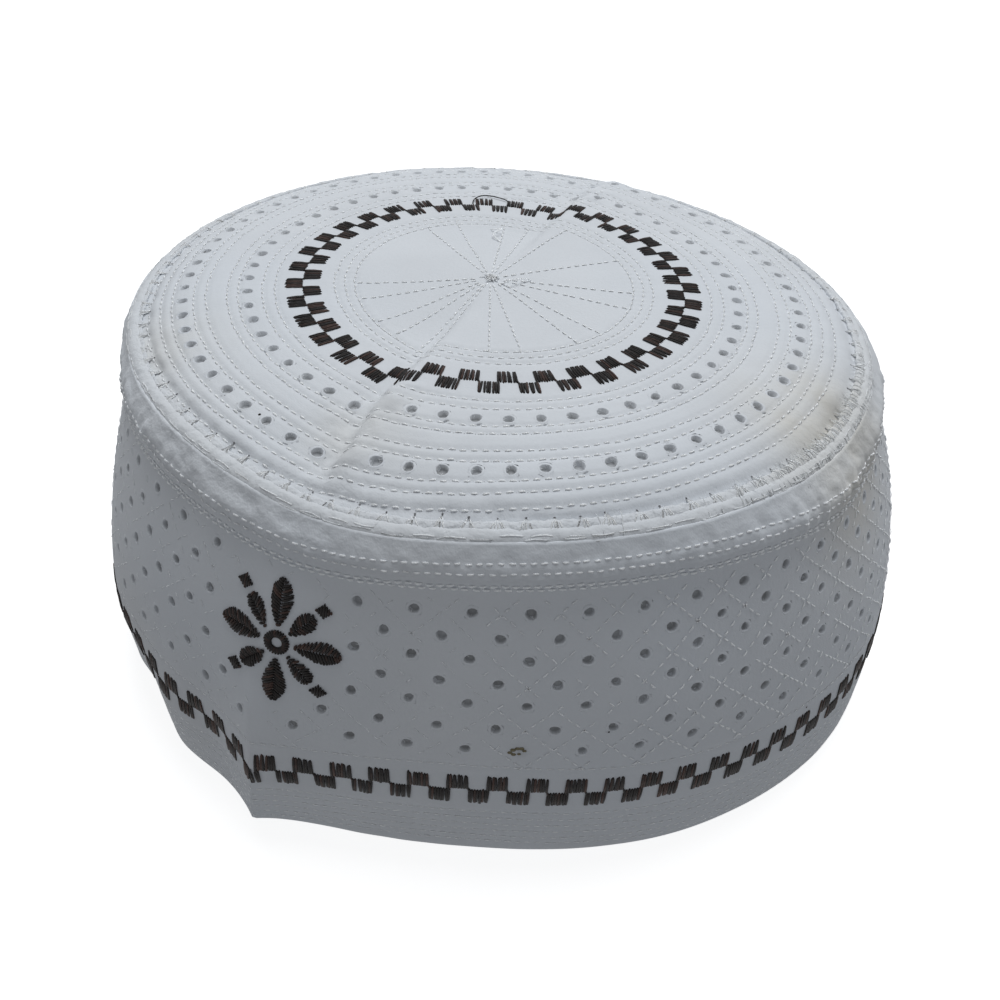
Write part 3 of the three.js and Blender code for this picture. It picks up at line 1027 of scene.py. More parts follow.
class CAP_OT_crown(bpy.types.Operator):
    """Builds the quilted cloth of the crown, with a pit under each eyelet."""

    bl_idname = "cap.crown"
    bl_label = "Crown cloth"

    def execute(self, context):
        form = current_form()
        cap = form.cap
        columns = 720
        degrees = np.arange(columns) * 360.0 / columns
        inner = np.array([1.2, 3, 5.5, 8, 10.5, 13, 15.5, 18, 20.5, 23, 25.5]) * MM
        outer = np.linspace(27.5 * MM, cap.crown_radius, 88)
        rings = np.concatenate([inner, outer])[:, None]
        edge = form.seam_radius(degrees) - 0.25 * MM
        shift = (edge - cap.crown_radius) * smoothstep(rings, 60 * MM, cap.crown_radius)
        radius = rings + shift
        around = np.broadcast_to(degrees, radius.shape)
        points, _, _, normal = form.crown_face(around, radius)
        centres = form.crown_face(*crown_eyelets().T)[0]
        points, pits = sink_pits(points, normal, centres, form.stitch, 0.20 * MM, 0.36 * MM)
        # Underside: the plain face one wall lower, joined over the rim.
        back = np.concatenate([outer[::-9], inner[::-2]])[:, None]
        back_radius = back + (edge - cap.crown_radius) * smoothstep(back, 60 * MM, cap.crown_radius)
        under = form.crown_base(np.broadcast_to(degrees, back_radius.shape), back_radius)
        under[..., 2] -= cap.wall
        grid = np.concatenate([points, under])
        rows = len(grid)
        top = form.crown_base(0.0, 0.0) + [0, 0, 0.1 * MM]
        bottom = form.crown_base(0.0, 0.0) - [0, 0, cap.wall]
        verts = np.concatenate([grid.reshape(-1, 3), [top], [bottom]])
        rim = np.arange(columns)
        fans = np.concatenate([fan_faces(rim, rows * columns),
                               fan_faces((rows - 1) * columns + rim, rows * columns + 1, False)])
        worn = bells(verts, [
            (form.crown_base(327.0, 76 * MM), 13 * MM, 0.75),
            (form.crown_base(248.0, 60 * MM), 9 * MM, 0.30),
            (form.crown_base(205.0, 74 * MM), 16 * MM, 0.25),
        ])
        # Darker spots: two in the fold near the eyelets it swallows, one by the seam at the worn corner.
        soil_and_shade = bells(verts, [
            (form.crown_base(248.0, 68 * MM), 3.5 * MM, 0.16),
            (form.crown_base(250.5, 53 * MM), 3.0 * MM, 0.14),
            (form.crown_base(331.0, 78 * MM), 4.0 * MM, 0.30),
        ])
        edge_part = smoothstep(radius, 66 * MM, 75 * MM)
        left = bell_turn(degrees, 225, 42)
        right = bell_turn(degrees, 326, 16)
        crumpled = filled(edge_part * (0.10 + 0.45 * left + 0.35 * right), len(verts))
        fold = [form.crown_base(248.0, place * MM) for place in (50, 56, 62, 68, 74)]
        crumpled = crumpled + bells(verts, [(place, 6 * MM, 0.30) for place in fold])
        add_piece("crown_cloth", verts, grid_faces(rows, columns), fans, cotton_flat(),
                  {"worn": worn, "soil_and_shade": soil_and_shade, "crumpled": crumpled}, ["crown_top"],
                  filled(pits, len(verts)))
        return {"FINISHED"}


class CAP_OT_band(bpy.types.Operator):
    """Builds the quilted cloth of the side band down to its rounded hem and up its inner face."""

    bl_idname = "cap.band"
    bl_label = "Band cloth"

    def execute(self, context):
        form = current_form()
        cap = form.cap
        columns = 756
        degrees = np.arange(columns) * 360.0 / columns
        half = cap.wall / 2
        end = 1.0 - half / (cap.cap_height * BAND_TALL)
        level = np.concatenate([[0.0, 0.003], np.linspace(0.008, end, 110)])[:, None]
        around = np.broadcast_to(degrees, (len(level), columns))
        points, _, down, normal = form.band_face(around, np.broadcast_to(level, around.shape))
        places = band_eyelets(form)
        centres = form.band_face(places[:, 0], places[:, 1])[0]
        outer, pits = sink_pits(points, normal, centres, form.stitch, 0.27 * MM, 0.42 * MM)
        # Hem: half a circle from the outer face under to the inner one.
        bend = np.radians([30, 60, 90, 120, 150, 180])[:, None, None]
        middle = points[-1] - normal[-1] * half
        hem = middle + half * (normal[-1] * np.cos(bend) + down[-1] * np.sin(bend))
        # Inner face: one wall inside the plain outer face.
        back = np.array([0.95, 0.88, 0.8, 0.7, 0.6, 0.5, 0.4, 0.3, 0.2, 0.12, 0.06, 0.02])[:, None]
        inside = np.broadcast_to(back, (len(back), columns))
        base, _, _, out = form.face(form.band_base, lambda a, b, c: np.zeros(c.shape[:-1]),
                                    np.broadcast_to(degrees, inside.shape), inside, 0.002)
        inner = base - out * cap.wall
        grid = np.concatenate([outer, hem, inner])
        grid[..., 2] = np.maximum(grid[..., 2], 0.02 * MM)
        verts = grid.reshape(-1, 3)
        runs = np.broadcast_to(np.interp(degrees, *form.band_run(0.0, 0.5)), grid.shape[:-1])
        mark = form.band_base
        worn = bells(verts, [
            (mark(327.0, 0.05), 13 * MM, 0.55),
            (mark(330.0, 0.12), 18 * MM, 0.25),
            (mark(218.0, 0.9), 22 * MM, 0.16),
        ])
        soil_and_shade = bells(verts, [
            (mark(275.8, 0.556), 1.4 * MM, 0.30),
            (mark(330.0, 0.03), 3.0 * MM, 0.35),
            (mark(334.0, 0.05), 3.0 * MM, 0.30),
        ])
        rows = len(grid)
        roll = 1 - smoothstep(level, 0.07, 0.13)
        left = bell_turn(degrees, 222, 40)
        right = bell_turn(degrees, 324, 18)
        low = smoothstep(level, 0.70, 0.85) * bell_turn(degrees, 222, 26)
        crumpled = filled(roll * (0.28 + 0.55 * left + 0.35 * right) + 0.30 * low, len(verts))
        add_piece("band_cloth", verts, grid_faces(rows, columns, True), [], cotton_round(),
                  {"worn": worn, "soil_and_shade": soil_and_shade, "run": runs, "crumpled": crumpled},
                  ["side_band"], filled(pits, len(verts)))
        return {"FINISHED"}


class CAP_OT_eyelets(bpy.types.Operator):
    """Lines each pit with an eyelet: a soft lip, a wall and a floor."""

    bl_idname = "cap.eyelets"
    bl_label = "Eyelets"

    def cups(self, name, face, spans, places, stitch, seed, dark, wide):
        """Rings of a cup round each eyelet, closed underneath. The outer four lie on the cloth
        itself, so that the mouth has no rim; the others are at depths along its normal. The
        mouth is drawn out of round by waves of two and three to the turn."""
        draw = np.random.default_rng(seed)
        mouth = stitch.eyelet
        deep = stitch.eyelet_depth
        radius = mouth + np.array([0.86, 0.24, 0.13, 0.0, -0.14, -0.02]) * MM
        height = np.array([-0.012 * MM, 0.005 * MM, 0.0, -0.10 * MM, -deep, -deep - 0.25 * MM])
        sides = 10
        first, second = places.T
        n = len(first)
        points, along, down, normal = face(first, second)
        turns, falls = spans
        turn = 2 * math.pi * np.arange(sides) / sides + draw.uniform(0, 0.5, (n, 1))
        wobble = 1 + 0.08 * np.cos(2 * turn + draw.uniform(0, 6, (n, 1)))
        wobble = wobble + 0.05 * np.cos(3 * turn + draw.uniform(0, 6, (n, 1)))
        size = wide * draw.uniform(0.86, 1.06, (n, 1, 1)) * wobble[:, None, :]
        spread = radius[None, :, None] * np.where(np.arange(6)[None, :, None] < 1, 1.0, size)
        go_along = spread * np.cos(turn)[:, None]
        go_down = spread * np.sin(turn)[:, None]
        on_cloth = face(first[:, None, None] + go_along[:, :4] * turns[:, None, None],
                        second[:, None, None] + go_down[:, :4] * falls[:, None, None])[0]
        inner = (points[:, None, None] + along[:, None, None] * go_along[:, 4:, :, None]
                 + down[:, None, None] * go_down[:, 4:, :, None])
        rings = (np.concatenate([on_cloth, inner], axis=1)
                 + normal[:, None, None] * height[None, :, None, None])
        floor = points - normal * deep
        below = points - normal * (deep + 0.25 * MM)
        verts = np.concatenate([rings.reshape(n, -1, 3), floor[:, None], below[:, None]], axis=1)
        each = verts.shape[1]
        rim = np.arange(sides)
        on = np.roll(rim, -1)
        under = 5 * sides
        quads = np.concatenate([grid_faces(5, sides), np.stack([rim, on, under + on, under + rim], axis=-1)])
        fans = np.concatenate([fan_faces(4 * sides + rim, 6 * sides, False),
                               fan_faces(under + rim, 6 * sides + 1)])
        # Painted shade: the cup's wall and floor are mixed towards the dark soil colour by the dark share,
        # standing for the shade inside the pit; the lip stays clean.
        shade = np.concatenate([np.repeat([0.0, 0.0, 0.0, 0.15, 1.0, 1.0], sides), [1.0, 1.0]])
        soil_and_shade = np.clip(shade * dark * draw.uniform(0.75, 1.15, (n, 1)), 0, 1)
        add_piece(name, verts.reshape(-1, 3), repeated(quads, n, each), repeated(fans, n, each),
                  cotton_flat(), {"worn": np.zeros(n * each), "soil_and_shade": soil_and_shade})

    def frays(self, face, places, stitch, each, draw):
        """Broken threads of the cloth round the mouths: each runs from the rim a little way in,
        sagging."""
        first, second = np.repeat(places, each, axis=0).T
        points, along, down, normal = face(first, second)
        n = len(points)
        start = draw.uniform(0, 2 * math.pi, n)
        turn = np.stack([start, start + draw.normal(0, 0.7, n)], axis=-1)
        reach = stitch.eyelet * np.stack([np.full(n, 1.05), draw.uniform(0.25, 0.8, n)], axis=-1)
        t = np.array([0.0, 0.3, 0.7, 1.0])
        across = reach * np.cos(turn)
        fall = reach * np.sin(turn)
        x = between(across[:, :1], across[:, 1:], t)[..., None]
        y = between(fall[:, :1], fall[:, 1:], t)[..., None]
        sag = -0.12 * MM - t[:, None] * draw.uniform(0.0, 0.5, (n, 1, 1)) * MM
        paths = points[:, None] + along[:, None] * x + down[:, None] * y + normal[:, None] * sag
        return paths, normal[:, None], 0.045 * MM * np.array([0.0, 1.0, 0.8, 0.0]), 3, 1.0

    def execute(self, context):
        form = current_form()
        draw = np.random.default_rng(23)
        crown = crown_eyelets()
        spans = form.spans(form.crown_base, crown[:, 0], crown[:, 1], 0.1 * MM)
        self.cups("crown_eyelets", form.crown_face, spans, crown, form.stitch, 21, 0.50, 1.0)
        band = band_eyelets(form)
        spans = form.spans(form.band_base, band[:, 0], band[:, 1], 0.002)
        self.cups("band_eyelets", form.band_face, spans, band, form.stitch, 22, 0.58, 0.93)
        add_strands("eyelet_frays", [self.frays(form.crown_face, crown, form.stitch, 4, draw),
                                     self.frays(form.band_face, band, form.stitch, 1, draw)],
                    "white_thread", 24)
        return {"FINISHED"}


class CAP_OT_crown_stitches(bpy.types.Operator):
    """Sews the rings and spokes of the crown, with the knot in its middle."""

    bl_idname = "cap.crown_stitches"
    bl_label = "Crown stitches"

    def execute(self, context):
        form = current_form()
        stitch = form.stitch
        draw = np.random.default_rng(31)
        groups = []
        holes = []
        for ring in np.array(CROWN_ROWS_MM) * MM:
            count = stitch_count(2 * math.pi * ring, stitch.pitch)
            k = np.arange(count)
            step = 360.0 / count
            start = (k + (1 - stitch.share) / 2 + draw.normal(0, 0.03, count)) * step
            end = start + stitch.share * step
            off = ring + draw.normal(0, 0.07 * MM, count)
            far = off + draw.normal(0, 0.08 * MM, count)
            groups.append(stitch_group(form.crown_face, start, end, off, far, stitch.thread))
            holes.append(np.stack([k * step, np.full(count, ring)], axis=-1))
        # Spokes: straight rows from near the middle, given as points and turned to round
        # coordinates.
        for spoke in SPOKES:
            way = np.array([math.cos(math.radians(spoke)), math.sin(math.radians(spoke))])
            origin = np.array(SPOKE_MIDDLE_MM) * MM
            t0 = np.arange(3.0 * MM, (30.0 - float(way @ SPOKE_MIDDLE_MM)) * MM, 0.95 * stitch.pitch)
            begin = origin + way * (t0[:, None] + draw.normal(0, 0.1 * MM, (len(t0), 1)))
            finish = begin + way * stitch.pitch * (stitch.share - 0.04)
            begin = begin + draw.normal(0, 0.05 * MM, begin.shape)
            groups.append(self.flat_stitches(form, begin, finish, stitch))
        # Knot: short threads of random length and direction crossing the middle.
        n = 46
        angle = draw.uniform(0, 2 * math.pi, n)
        reach = draw.uniform(0.8, 3.4, n)[:, None] * MM
        way = np.stack([np.cos(angle), np.sin(angle)], axis=-1)
        origin = np.array(SPOKE_MIDDLE_MM) * MM + draw.normal(0, 0.45 * MM, (n, 2))
        paths, normal, thin, sides, flat = self.flat_stitches(form, origin - way * reach * 0.5,
                                                              origin + way * reach * 0.6, stitch)
        paths = paths + normal * (draw.uniform(0.0, 0.45, (n, 1, 1)) * MM)
        groups.append((paths, normal, thin * 0.85, sides, flat))
        add_strands("crown_stitches", groups, "white_thread", 32)
        holes = np.concatenate(holes)
        # Painted shade: a small grey disc at each needle hole, for the shade where the thread goes into the
        # cloth.
        add_marks("crown_needle_holes", form.crown_face, holes[:, 0], holes[:, 1],
                  draw.uniform(0.10, 0.17, len(holes)) * MM, "needle_hole")
        return {"FINISHED"}

    def flat_stitches(self, form, begin, finish, stitch):
        """Stitches between points given in the crown's plane."""
        line = between(begin[:, None], finish[:, None], STITCH_PLACES[:, None])
        degrees = np.degrees(np.arctan2(line[..., 1], line[..., 0]))
        points, _, _, normal = form.crown_face(degrees, np.linalg.norm(line, axis=-1))
        rise = np.array([-0.22, 0.09, 0.14, 0.09, -0.22]) * MM
        return points + normal * rise[:, None], normal, stitch.thread * STITCH_SWELL, 5, 0.36


def add_marks(name, face, first, second, size, material, stretch=1.0):
    """Tiny closed lenses lying in the cloth: a six-sided rim, stretched along the second
    parameter, with a low point above and one below."""
    points, along, down, normal = face(first, second)
    n = len(points)
    size = np.broadcast_to(size, (n,))
    turn = 2 * math.pi * np.arange(6) / 6
    rim = (points[:, None] + normal[:, None] * 0.04 * MM
           + along[:, None] * (size[:, None] * np.cos(turn))[..., None]
           + down[:, None] * (stretch * size[:, None] * np.sin(turn))[..., None])
    over = points + normal * 0.08 * MM
    under = points - normal * 0.12 * MM
    verts = np.concatenate([rim, over[:, None], under[:, None]], axis=1)
    fans = np.concatenate([fan_faces(np.arange(6), 6, False), fan_faces(np.arange(6), 7)])
    add_piece(name, verts.reshape(-1, 3), [], repeated(fans, n, 8),
              made(material, lambda key: plain_material(key, MARK_COLOURS[key])))


class CAP_OT_band_stitches(bpy.types.Operator):
    """Sews the rows under the roll, above the border and along the hem."""

    bl_idname = "cap.band_stitches"
    bl_label = "Band stitches"

    def execute(self, context):
        form = current_form()
        stitch = form.stitch
        draw = np.random.default_rng(41)
        groups = []
        for row in BAND_ROWS + HEM_ROWS:
            even = form.band_columns(720, draw.uniform(0, 5), row)
            count = stitch_count(2 * math.pi * form.cap.hem_radius, stitch.pitch)
            marks = np.interp(np.arange(count + 1) / count * 720, np.arange(721),
                              np.append(even, even[0] + 360))
            gaps = np.diff(marks)
            start = marks[:-1] + gaps * ((1 - stitch.share) / 2 + draw.normal(0, 0.03, count))
            end = start + gaps * stitch.share
            jitter = 0.0007
            off = form.row_level(row, start) + draw.normal(0, jitter, count)
            far = form.row_level(row, end) + draw.normal(0, jitter, count)
            clear = rosette_clear(form, start, off)
            # The upper two rows lie flatter than the two below them; the rows further down, by
            # the border and the hem, are fine.
            thick, lift, flat = (0.95, 1.25, 0.6) if row < 0.1 else (1.15, 1.9, 0.9)
            if row > 0.5:
                thick, lift, flat = 0.72, 0.8, 0.7
            groups.append(stitch_group(form.band_face, start[clear], end[clear], off[clear],
                                       far[clear], stitch.thread * thick, lift, flat))
        add_strands("band_stitches", groups, "white_thread", 42)
        return {"FINISHED"}


class CAP_OT_lattice(bpy.types.Operator):
    """Sews the fine diagonal lines that cross midway between the eyelets."""

    bl_idname = "cap.lattice"
    bl_label = "Diamond quilting"

    def execute(self, context):
        form = current_form()
        stitch = form.stitch
        draw = np.random.default_rng(51)
        pitch = EYELET_LEVELS[1] - EYELET_LEVELS[0]
        columns = form.band_columns(4 * EYELET_COLUMNS, EYELET_FIRST, 0.375)
        total = len(columns)
        index = np.arange(total + 1)
        unwrapped = np.append(columns, columns[0] + 360)
        # Each line has stitches a share of a row apart, from the upper to the lower rows. Along
        # a line the column index changes by two quarter steps for each row.
        share = 0.29
        cells = np.arange(0.137, 0.622, pitch * share)
        hand = np.array([-1, 1])[:, None, None]
        line = np.arange(EYELET_COLUMNS)[None, :, None]
        begin = line * 4 + 2 + hand * 2 * (cells - EYELET_LEVELS[0]) / pitch
        delta, level = (np.broadcast_to(part, begin.shape).ravel()
                        for part in (hand * 2 * share * stitch.share, cells))
        begin = begin.ravel() % total
        top = level + draw.normal(0, 0.0012, len(begin))
        low_end = level + share * stitch.share * pitch + draw.normal(0, 0.0012, len(begin))
        start = np.interp(begin, index, unwrapped)
        step = 2 * np.abs(turn_between(np.interp((begin + 0.5) % total, index, unwrapped), start))
        end = start + delta * step
        keep = rosette_clear(form, start, top) & (draw.uniform(0, 1, len(begin)) > 0.08)
        # The lines show best at the right front and at the back.
        shown = 0.25 + 0.75 * np.maximum(bell_turn(start, 320, 42), bell_turn(start, 110, 80))
        groups = []
        for low_share, high_share in ((0.0, 0.45), (0.45, 0.7), (0.7, 1.1)):
            chosen = keep & (shown >= low_share) & (shown < high_share)
            chosen = chosen & (draw.uniform(0, 1, len(begin)) < 0.55 + 0.6 * low_share)
            middle = (low_share + high_share) / 2
            groups.append(stitch_group(form.band_face, start[chosen], end[chosen], top[chosen],
                                       low_end[chosen], stitch.thread * (0.30 + 0.70 * middle),
                                       0.20 + 1.30 * middle))
        add_strands("quilting_stitches", groups, "white_thread", 52)
        return {"FINISHED"}


def check_strokes(face, first, middle, tall, width, pairs, draw):
    """A chequered border of satin strokes. Squares stand on alternate sides of a middle line.
    Each square has pairs of strokes: one straight across the row and one whose far end leans
    back by nearly half a pitch, so that wedges of cloth show between them at alternate ends.
    first and width are in degrees; middle and tall in the face's second parameter. Gives the
    paths, their normals and each stroke's share of the full thickness."""
    n = len(first)
    count = 2 * pairs
    k = np.arange(count)
    pitch = (width / count)[:, None]
    side = np.where(np.arange(n) % 2 == 0, 1.0, -1.0)[:, None]
    near_turn = first[:, None] + (k + 0.5) * pitch + draw.normal(0, 0.07, (n, count)) * pitch
    lean = np.where(k % 2 == 1, -0.30, 0.10) + draw.normal(0, 0.16, (n, count))
    far_turn = near_turn + lean * pitch
    near = middle[:, None] - side * tall * (0.03 + np.abs(draw.normal(0, 0.025, (n, count))))
    far = middle[:, None] + side * tall * (1.0 + draw.normal(0, 0.03, (n, count)))
    # Steps: a thread from the last stroke's foot to the first of the next square.
    next_first = np.roll(first, -1) + np.where(np.arange(n) == n - 1, 360, 0)
    next_middle = np.roll(middle, -1)
    last = first + width - 0.5 * pitch[:, 0]
    turn0 = np.concatenate([near_turn.ravel(), last])
    turn1 = np.concatenate([far_turn.ravel(), next_first + 0.6 * pitch[:, 0]])
    second0 = np.concatenate([near.ravel(), middle + 0.25 * tall * side[:, 0]])
    second1 = np.concatenate([far.ravel(), next_middle - 0.25 * tall * side[:, 0]])
    t = np.array([0.0, 0.10, 0.5, 0.90, 1.0])
    points, _, _, normal = face(between(turn0[:, None], turn1[:, None], t),
                                between(second0[:, None], second1[:, None], t))
    rise = np.array([-0.05, 0.13, 0.19, 0.13, -0.05]) * MM
    share = np.repeat([1.0, 0.6], [n * count, n])
    return points + normal * rise[:, None], normal, share[:, None]


class CAP_OT_borders(bpy.types.Operator):
    """Embroiders the two chequered borders in dark satin strokes."""

    bl_idname = "cap.borders"
    bl_label = "Chequered borders"

    def execute(self, context):
        form = current_form()
        stitch = form.stitch
        draw = np.random.default_rng(61)
        thin = stitch.satin * np.array([0.0, 0.92, 1.05, 0.92, 0.0])
        count = 2 * CROWN_CHECK["count"]
        step = 360.0 / count
        wide = np.full(count, 2 * step * CROWN_CHECK["duty"]) * draw.uniform(0.96, 1.05, count)
        first = CROWN_CHECK["first"] + np.arange(count) * step - wide / 2
        first = first + np.where(np.arange(count) % 2, 2 * step * CROWN_CHECK["shift"], 0.0)
        middle = np.full(count, CROWN_CHECK["middle_mm"] * MM)
        paths, normal, share = check_strokes(form.crown_face, first, middle,
                                             CROWN_CHECK["tall_mm"] * MM, wide, stitch.check_strokes, draw)
        add_strands("crown_border", [(paths, normal, thin * share, 5, 0.6)], "dark_thread", 62)
        count = 2 * BAND_CHECK["count"]
        marks = form.band_columns(count, BAND_CHECK["first"], BAND_CHECK["level"])
        gap = np.diff(np.append(marks, marks[0] + 360))
        marks = marks + np.where(np.arange(count) % 2, 2 * gap * BAND_CHECK["shift"], 0.0)
        wide = gap * 2 * BAND_CHECK["duty"] * draw.uniform(0.97, 1.04, count)
        tall = BAND_CHECK["tall_mm"] * MM / (form.cap.cap_height * PATTERN_TALL)
        middle = form.row_level(BAND_CHECK["level"], marks)
        paths, normal, share = check_strokes(form.band_face, marks - wide / 2, middle, tall, wide,
                                             stitch.check_strokes, draw)
        add_strands("band_border", [(paths, normal, 1.15 * thin * share, 5, 0.5)], "dark_thread", 63)
        return {"FINISHED"}


class CAP_OT_rosette(bpy.types.Operator):
    """Embroiders a plain eight-petalled rosette on the front of the band."""

    bl_idname = "cap.rosette"
    bl_label = "Rosette"

    def execute(self, context):
        form = current_form()
        draw = np.random.default_rng(71)
        starts, ends = [], []
        # Petals: leaf shapes whose half width is a power of a sine along them. Their strokes
        # slant from the midrib outwards.
        for petal in range(8):
            turn = math.pi / 4 * petal
            long = 9.8 if petal % 2 == 0 else 7.0
            wide = 2.5 if petal % 2 == 0 else 2.0
            t = np.arange(0.04, 0.97, 0.60 / long)
            half = wide * np.sin(math.pi * t) ** 0.8
            way = np.array([math.sin(turn), math.cos(turn)])
            side = np.array([math.cos(turn), -math.sin(turn)])
            rib = way * (3.2 + long * t)[:, None]
            for hand in (-1, 1):
                tip = rib + side * (hand * half)[:, None] + way * (half * 0.55)[:, None]
                starts.append(rib - side * (hand * 0.12))
                ends.append(tip + draw.normal(0, 0.10, tip.shape))
        # Middle ring of short strokes, and four small lozenges beyond the short petals.
        turn = np.linspace(0, 2 * math.pi, 27)[:-1]
        spin = np.stack([np.sin(turn), np.cos(turn)], axis=-1)
        starts.append(spin * 1.0)
        ends.append(spin * 2.6)
        for k in range(4):
            turn = math.pi / 4 + math.pi / 2 * k
            middle = 12.3 * np.array([math.sin(turn), math.cos(turn)])
            x = np.arange(-1.5, 1.51, 0.5)
            half = 1.7 - np.abs(x)
            starts.append(middle + np.stack([x, -half], axis=-1))
            ends.append(middle + np.stack([x, half], axis=-1))
        t = np.array([0.0, 0.12, 0.5, 0.88, 1.0])[:, None]
        line = between(np.concatenate(starts)[:, None], np.concatenate(ends)[:, None], t)
        degrees = ROSETTE["angle"] + np.degrees(line[..., 0] * MM / form.cap.hem_radius)
        level = ROSETTE["level"] - line[..., 1] * MM / (form.cap.cap_height * PATTERN_TALL)
        points, _, _, normal = form.band_face(degrees, level)
        rise = np.array([-0.05, 0.22, 0.36, 0.22, -0.05]) * MM
        thin = form.stitch.satin * np.array([0.0, 0.9, 1.1, 0.9, 0.0])
        add_strands("rosette", [(points + normal * rise[:, None], normal, thin, 5, 0.85)],
                    "dark_thread", 72)
        return {"FINISHED"}


class CAP_OT_seam(bpy.types.Operator):
    """Sews the raised seam: a lumpy ridge, a rolled lip on its outer side, whipping threads over
    the ridge, arcs of thread along the lip, the worn corner's threads and fine fuzz."""

    bl_idname = "cap.seam"
    bl_label = "Over-sewn seam"

    def ridge_point(self, form, degrees, turn, swell):
        """A point on the ridge's section, a flattened oval that lies on the crown's slope just
        inside the seam: half the width times the cosine outwards and half the height times the
        0.65th power of the sine upwards."""
        stitch = form.stitch
        middle = form.seam_radius(degrees) - stitch.ridge_inside
        out = swell * stitch.ridge_width / 2 * np.cos(turn)
        lift = np.sign(np.sin(turn)) * np.abs(np.sin(turn)) ** 0.65
        height = form.crown_height(middle + 0.7 * out, degrees) + 0.12 * MM
        return form.place(middle + out, degrees, height + swell * stitch.ridge_height / 2 * lift)

    def lumpy(self, form, degrees, turn, swell=1.0):
        """The ridge's section swollen and shrunk by three sizes of ripple."""
        base = self.ridge_point(form, degrees, turn, 1.0)
        lumps = 0.96 - 0.50 * bell_turn(degrees, 210, 42)
        lumps = lumps + 0.14 * ripple(base, 3.4 * MM, 82) + 0.12 * ripple(base, 1.5 * MM, 83)
        return self.ridge_point(form, degrees, turn, swell * (lumps + 0.07 * ripple(base, 0.8 * MM, 86)))

    def lip_point(self, form, degrees, turn, swell=1.0):
        """A point on the rolled edge at the ridge's outer foot, which covers the top of the band:
        a softly lumped oval whose inner side is 0.7 as wide, and whose lower side 0.55 as deep."""
        seam = form.seam_radius(degrees) - 0.24 * MM
        middle = form.crown_height(form.seam_radius(degrees), degrees) - 1.18 * MM
        size = form.cap.seam_width * 0.99
        out = np.cos(turn) * np.where(np.cos(turn) < 0, 0.7, 1.0)
        up = np.sin(turn) * np.where(np.sin(turn) < 0, 0.55, 1.0)
        base = form.place(seam + size * out, degrees, middle + size * up)
        size = size * swell * (1.0 + 0.04 * ripple(base, 6.0 * MM, 87) + 0.05 * ripple(base, 2.4 * MM, 88))
        return form.place(seam + size * out, degrees, middle + size * up)

    def execute(self, context):
        form = current_form()
        draw = np.random.default_rng(81)
        columns, sides = 1300, 16
        degrees = (np.arange(columns) * 360.0 / columns)[:, None]
        turn = (2 * math.pi * np.arange(sides) / sides)[None, :]
        grid = self.lumpy(form, degrees, turn)
        quads = grid_faces(columns, sides, True)
        old = np.broadcast_to(bell_turn(degrees, 327, 22), grid.shape[:-1])
        left = np.broadcast_to(bell_turn(degrees, 215, 45), old.shape)
        blank = np.zeros(old.shape)
        add_piece("seam_ridge", grid.reshape(-1, 3), quads, [], cotton_flat(),
                  {"worn": 0.05 + 0.40 * old, "soil_and_shade": blank, "crumpled": blank + 1.5}, ["crown_seam"])
        lip = self.lip_point(form, degrees, turn)
        add_piece("seam_lip", lip.reshape(-1, 3), quads, [], cotton_flat(),
                  {"worn": 0.08 + 0.22 * old, "soil_and_shade": blank, "crumpled": 0.6 + 0.5 * left})
        count = 98
        holes = (np.arange(count) + draw.normal(0, 0.08, count)) * 360.0 / count
        hole_radius = form.seam_radius(holes) - 2.85 * MM + draw.normal(0, 0.15 * MM, count)
        groups = self.whipping(form, holes, hole_radius, draw)
        add_strands("seam_whipping", groups, "white_thread", 84)
        add_strands("worn_corner_threads", [self.worn_corner(form, draw)], "white_thread", 83)
        # Painted shade: a dark disc at each of the whipping's holes.
        add_marks("seam_needle_holes", form.crown_face, holes, hole_radius + 0.05 * MM,
                  draw.uniform(0.15, 0.24, count) * MM, "seam_hole", 1.4)
        # Fuzz: short bent hairs, denser at the worn corner.
        n = 620
        worn_part = draw.normal(326, 11, n // 3)
        around = np.concatenate([draw.uniform(0, 360, n - n // 3), worn_part])[:, None]
        turns = draw.uniform(0.2, 2.9, (n, 1))
        root = self.ridge_point(form, around, turns, 1.0)
        out = unit(root - self.ridge_point(form, around, turns, 0.0))
        drift = unit(draw.normal(size=(n, 1, 3)))
        length = draw.gamma(3.0, 0.30, (n, 1, 1)) * MM
        t = np.linspace(0, 1, 5)[None, :, None]
        path = root - out * 0.2 * MM + out * length * t * 0.65 + drift * length * t ** 2
        thin = 0.035 * MM * np.array([0, 1, 0.9, 0.7, 0])
        add_strands("seam_fuzz_hairs", [(path, np.array([0.12, 0.05, 1.0]), thin, 3, 1.0)],
                    "white_thread", 85)
        return {"FINISHED"}

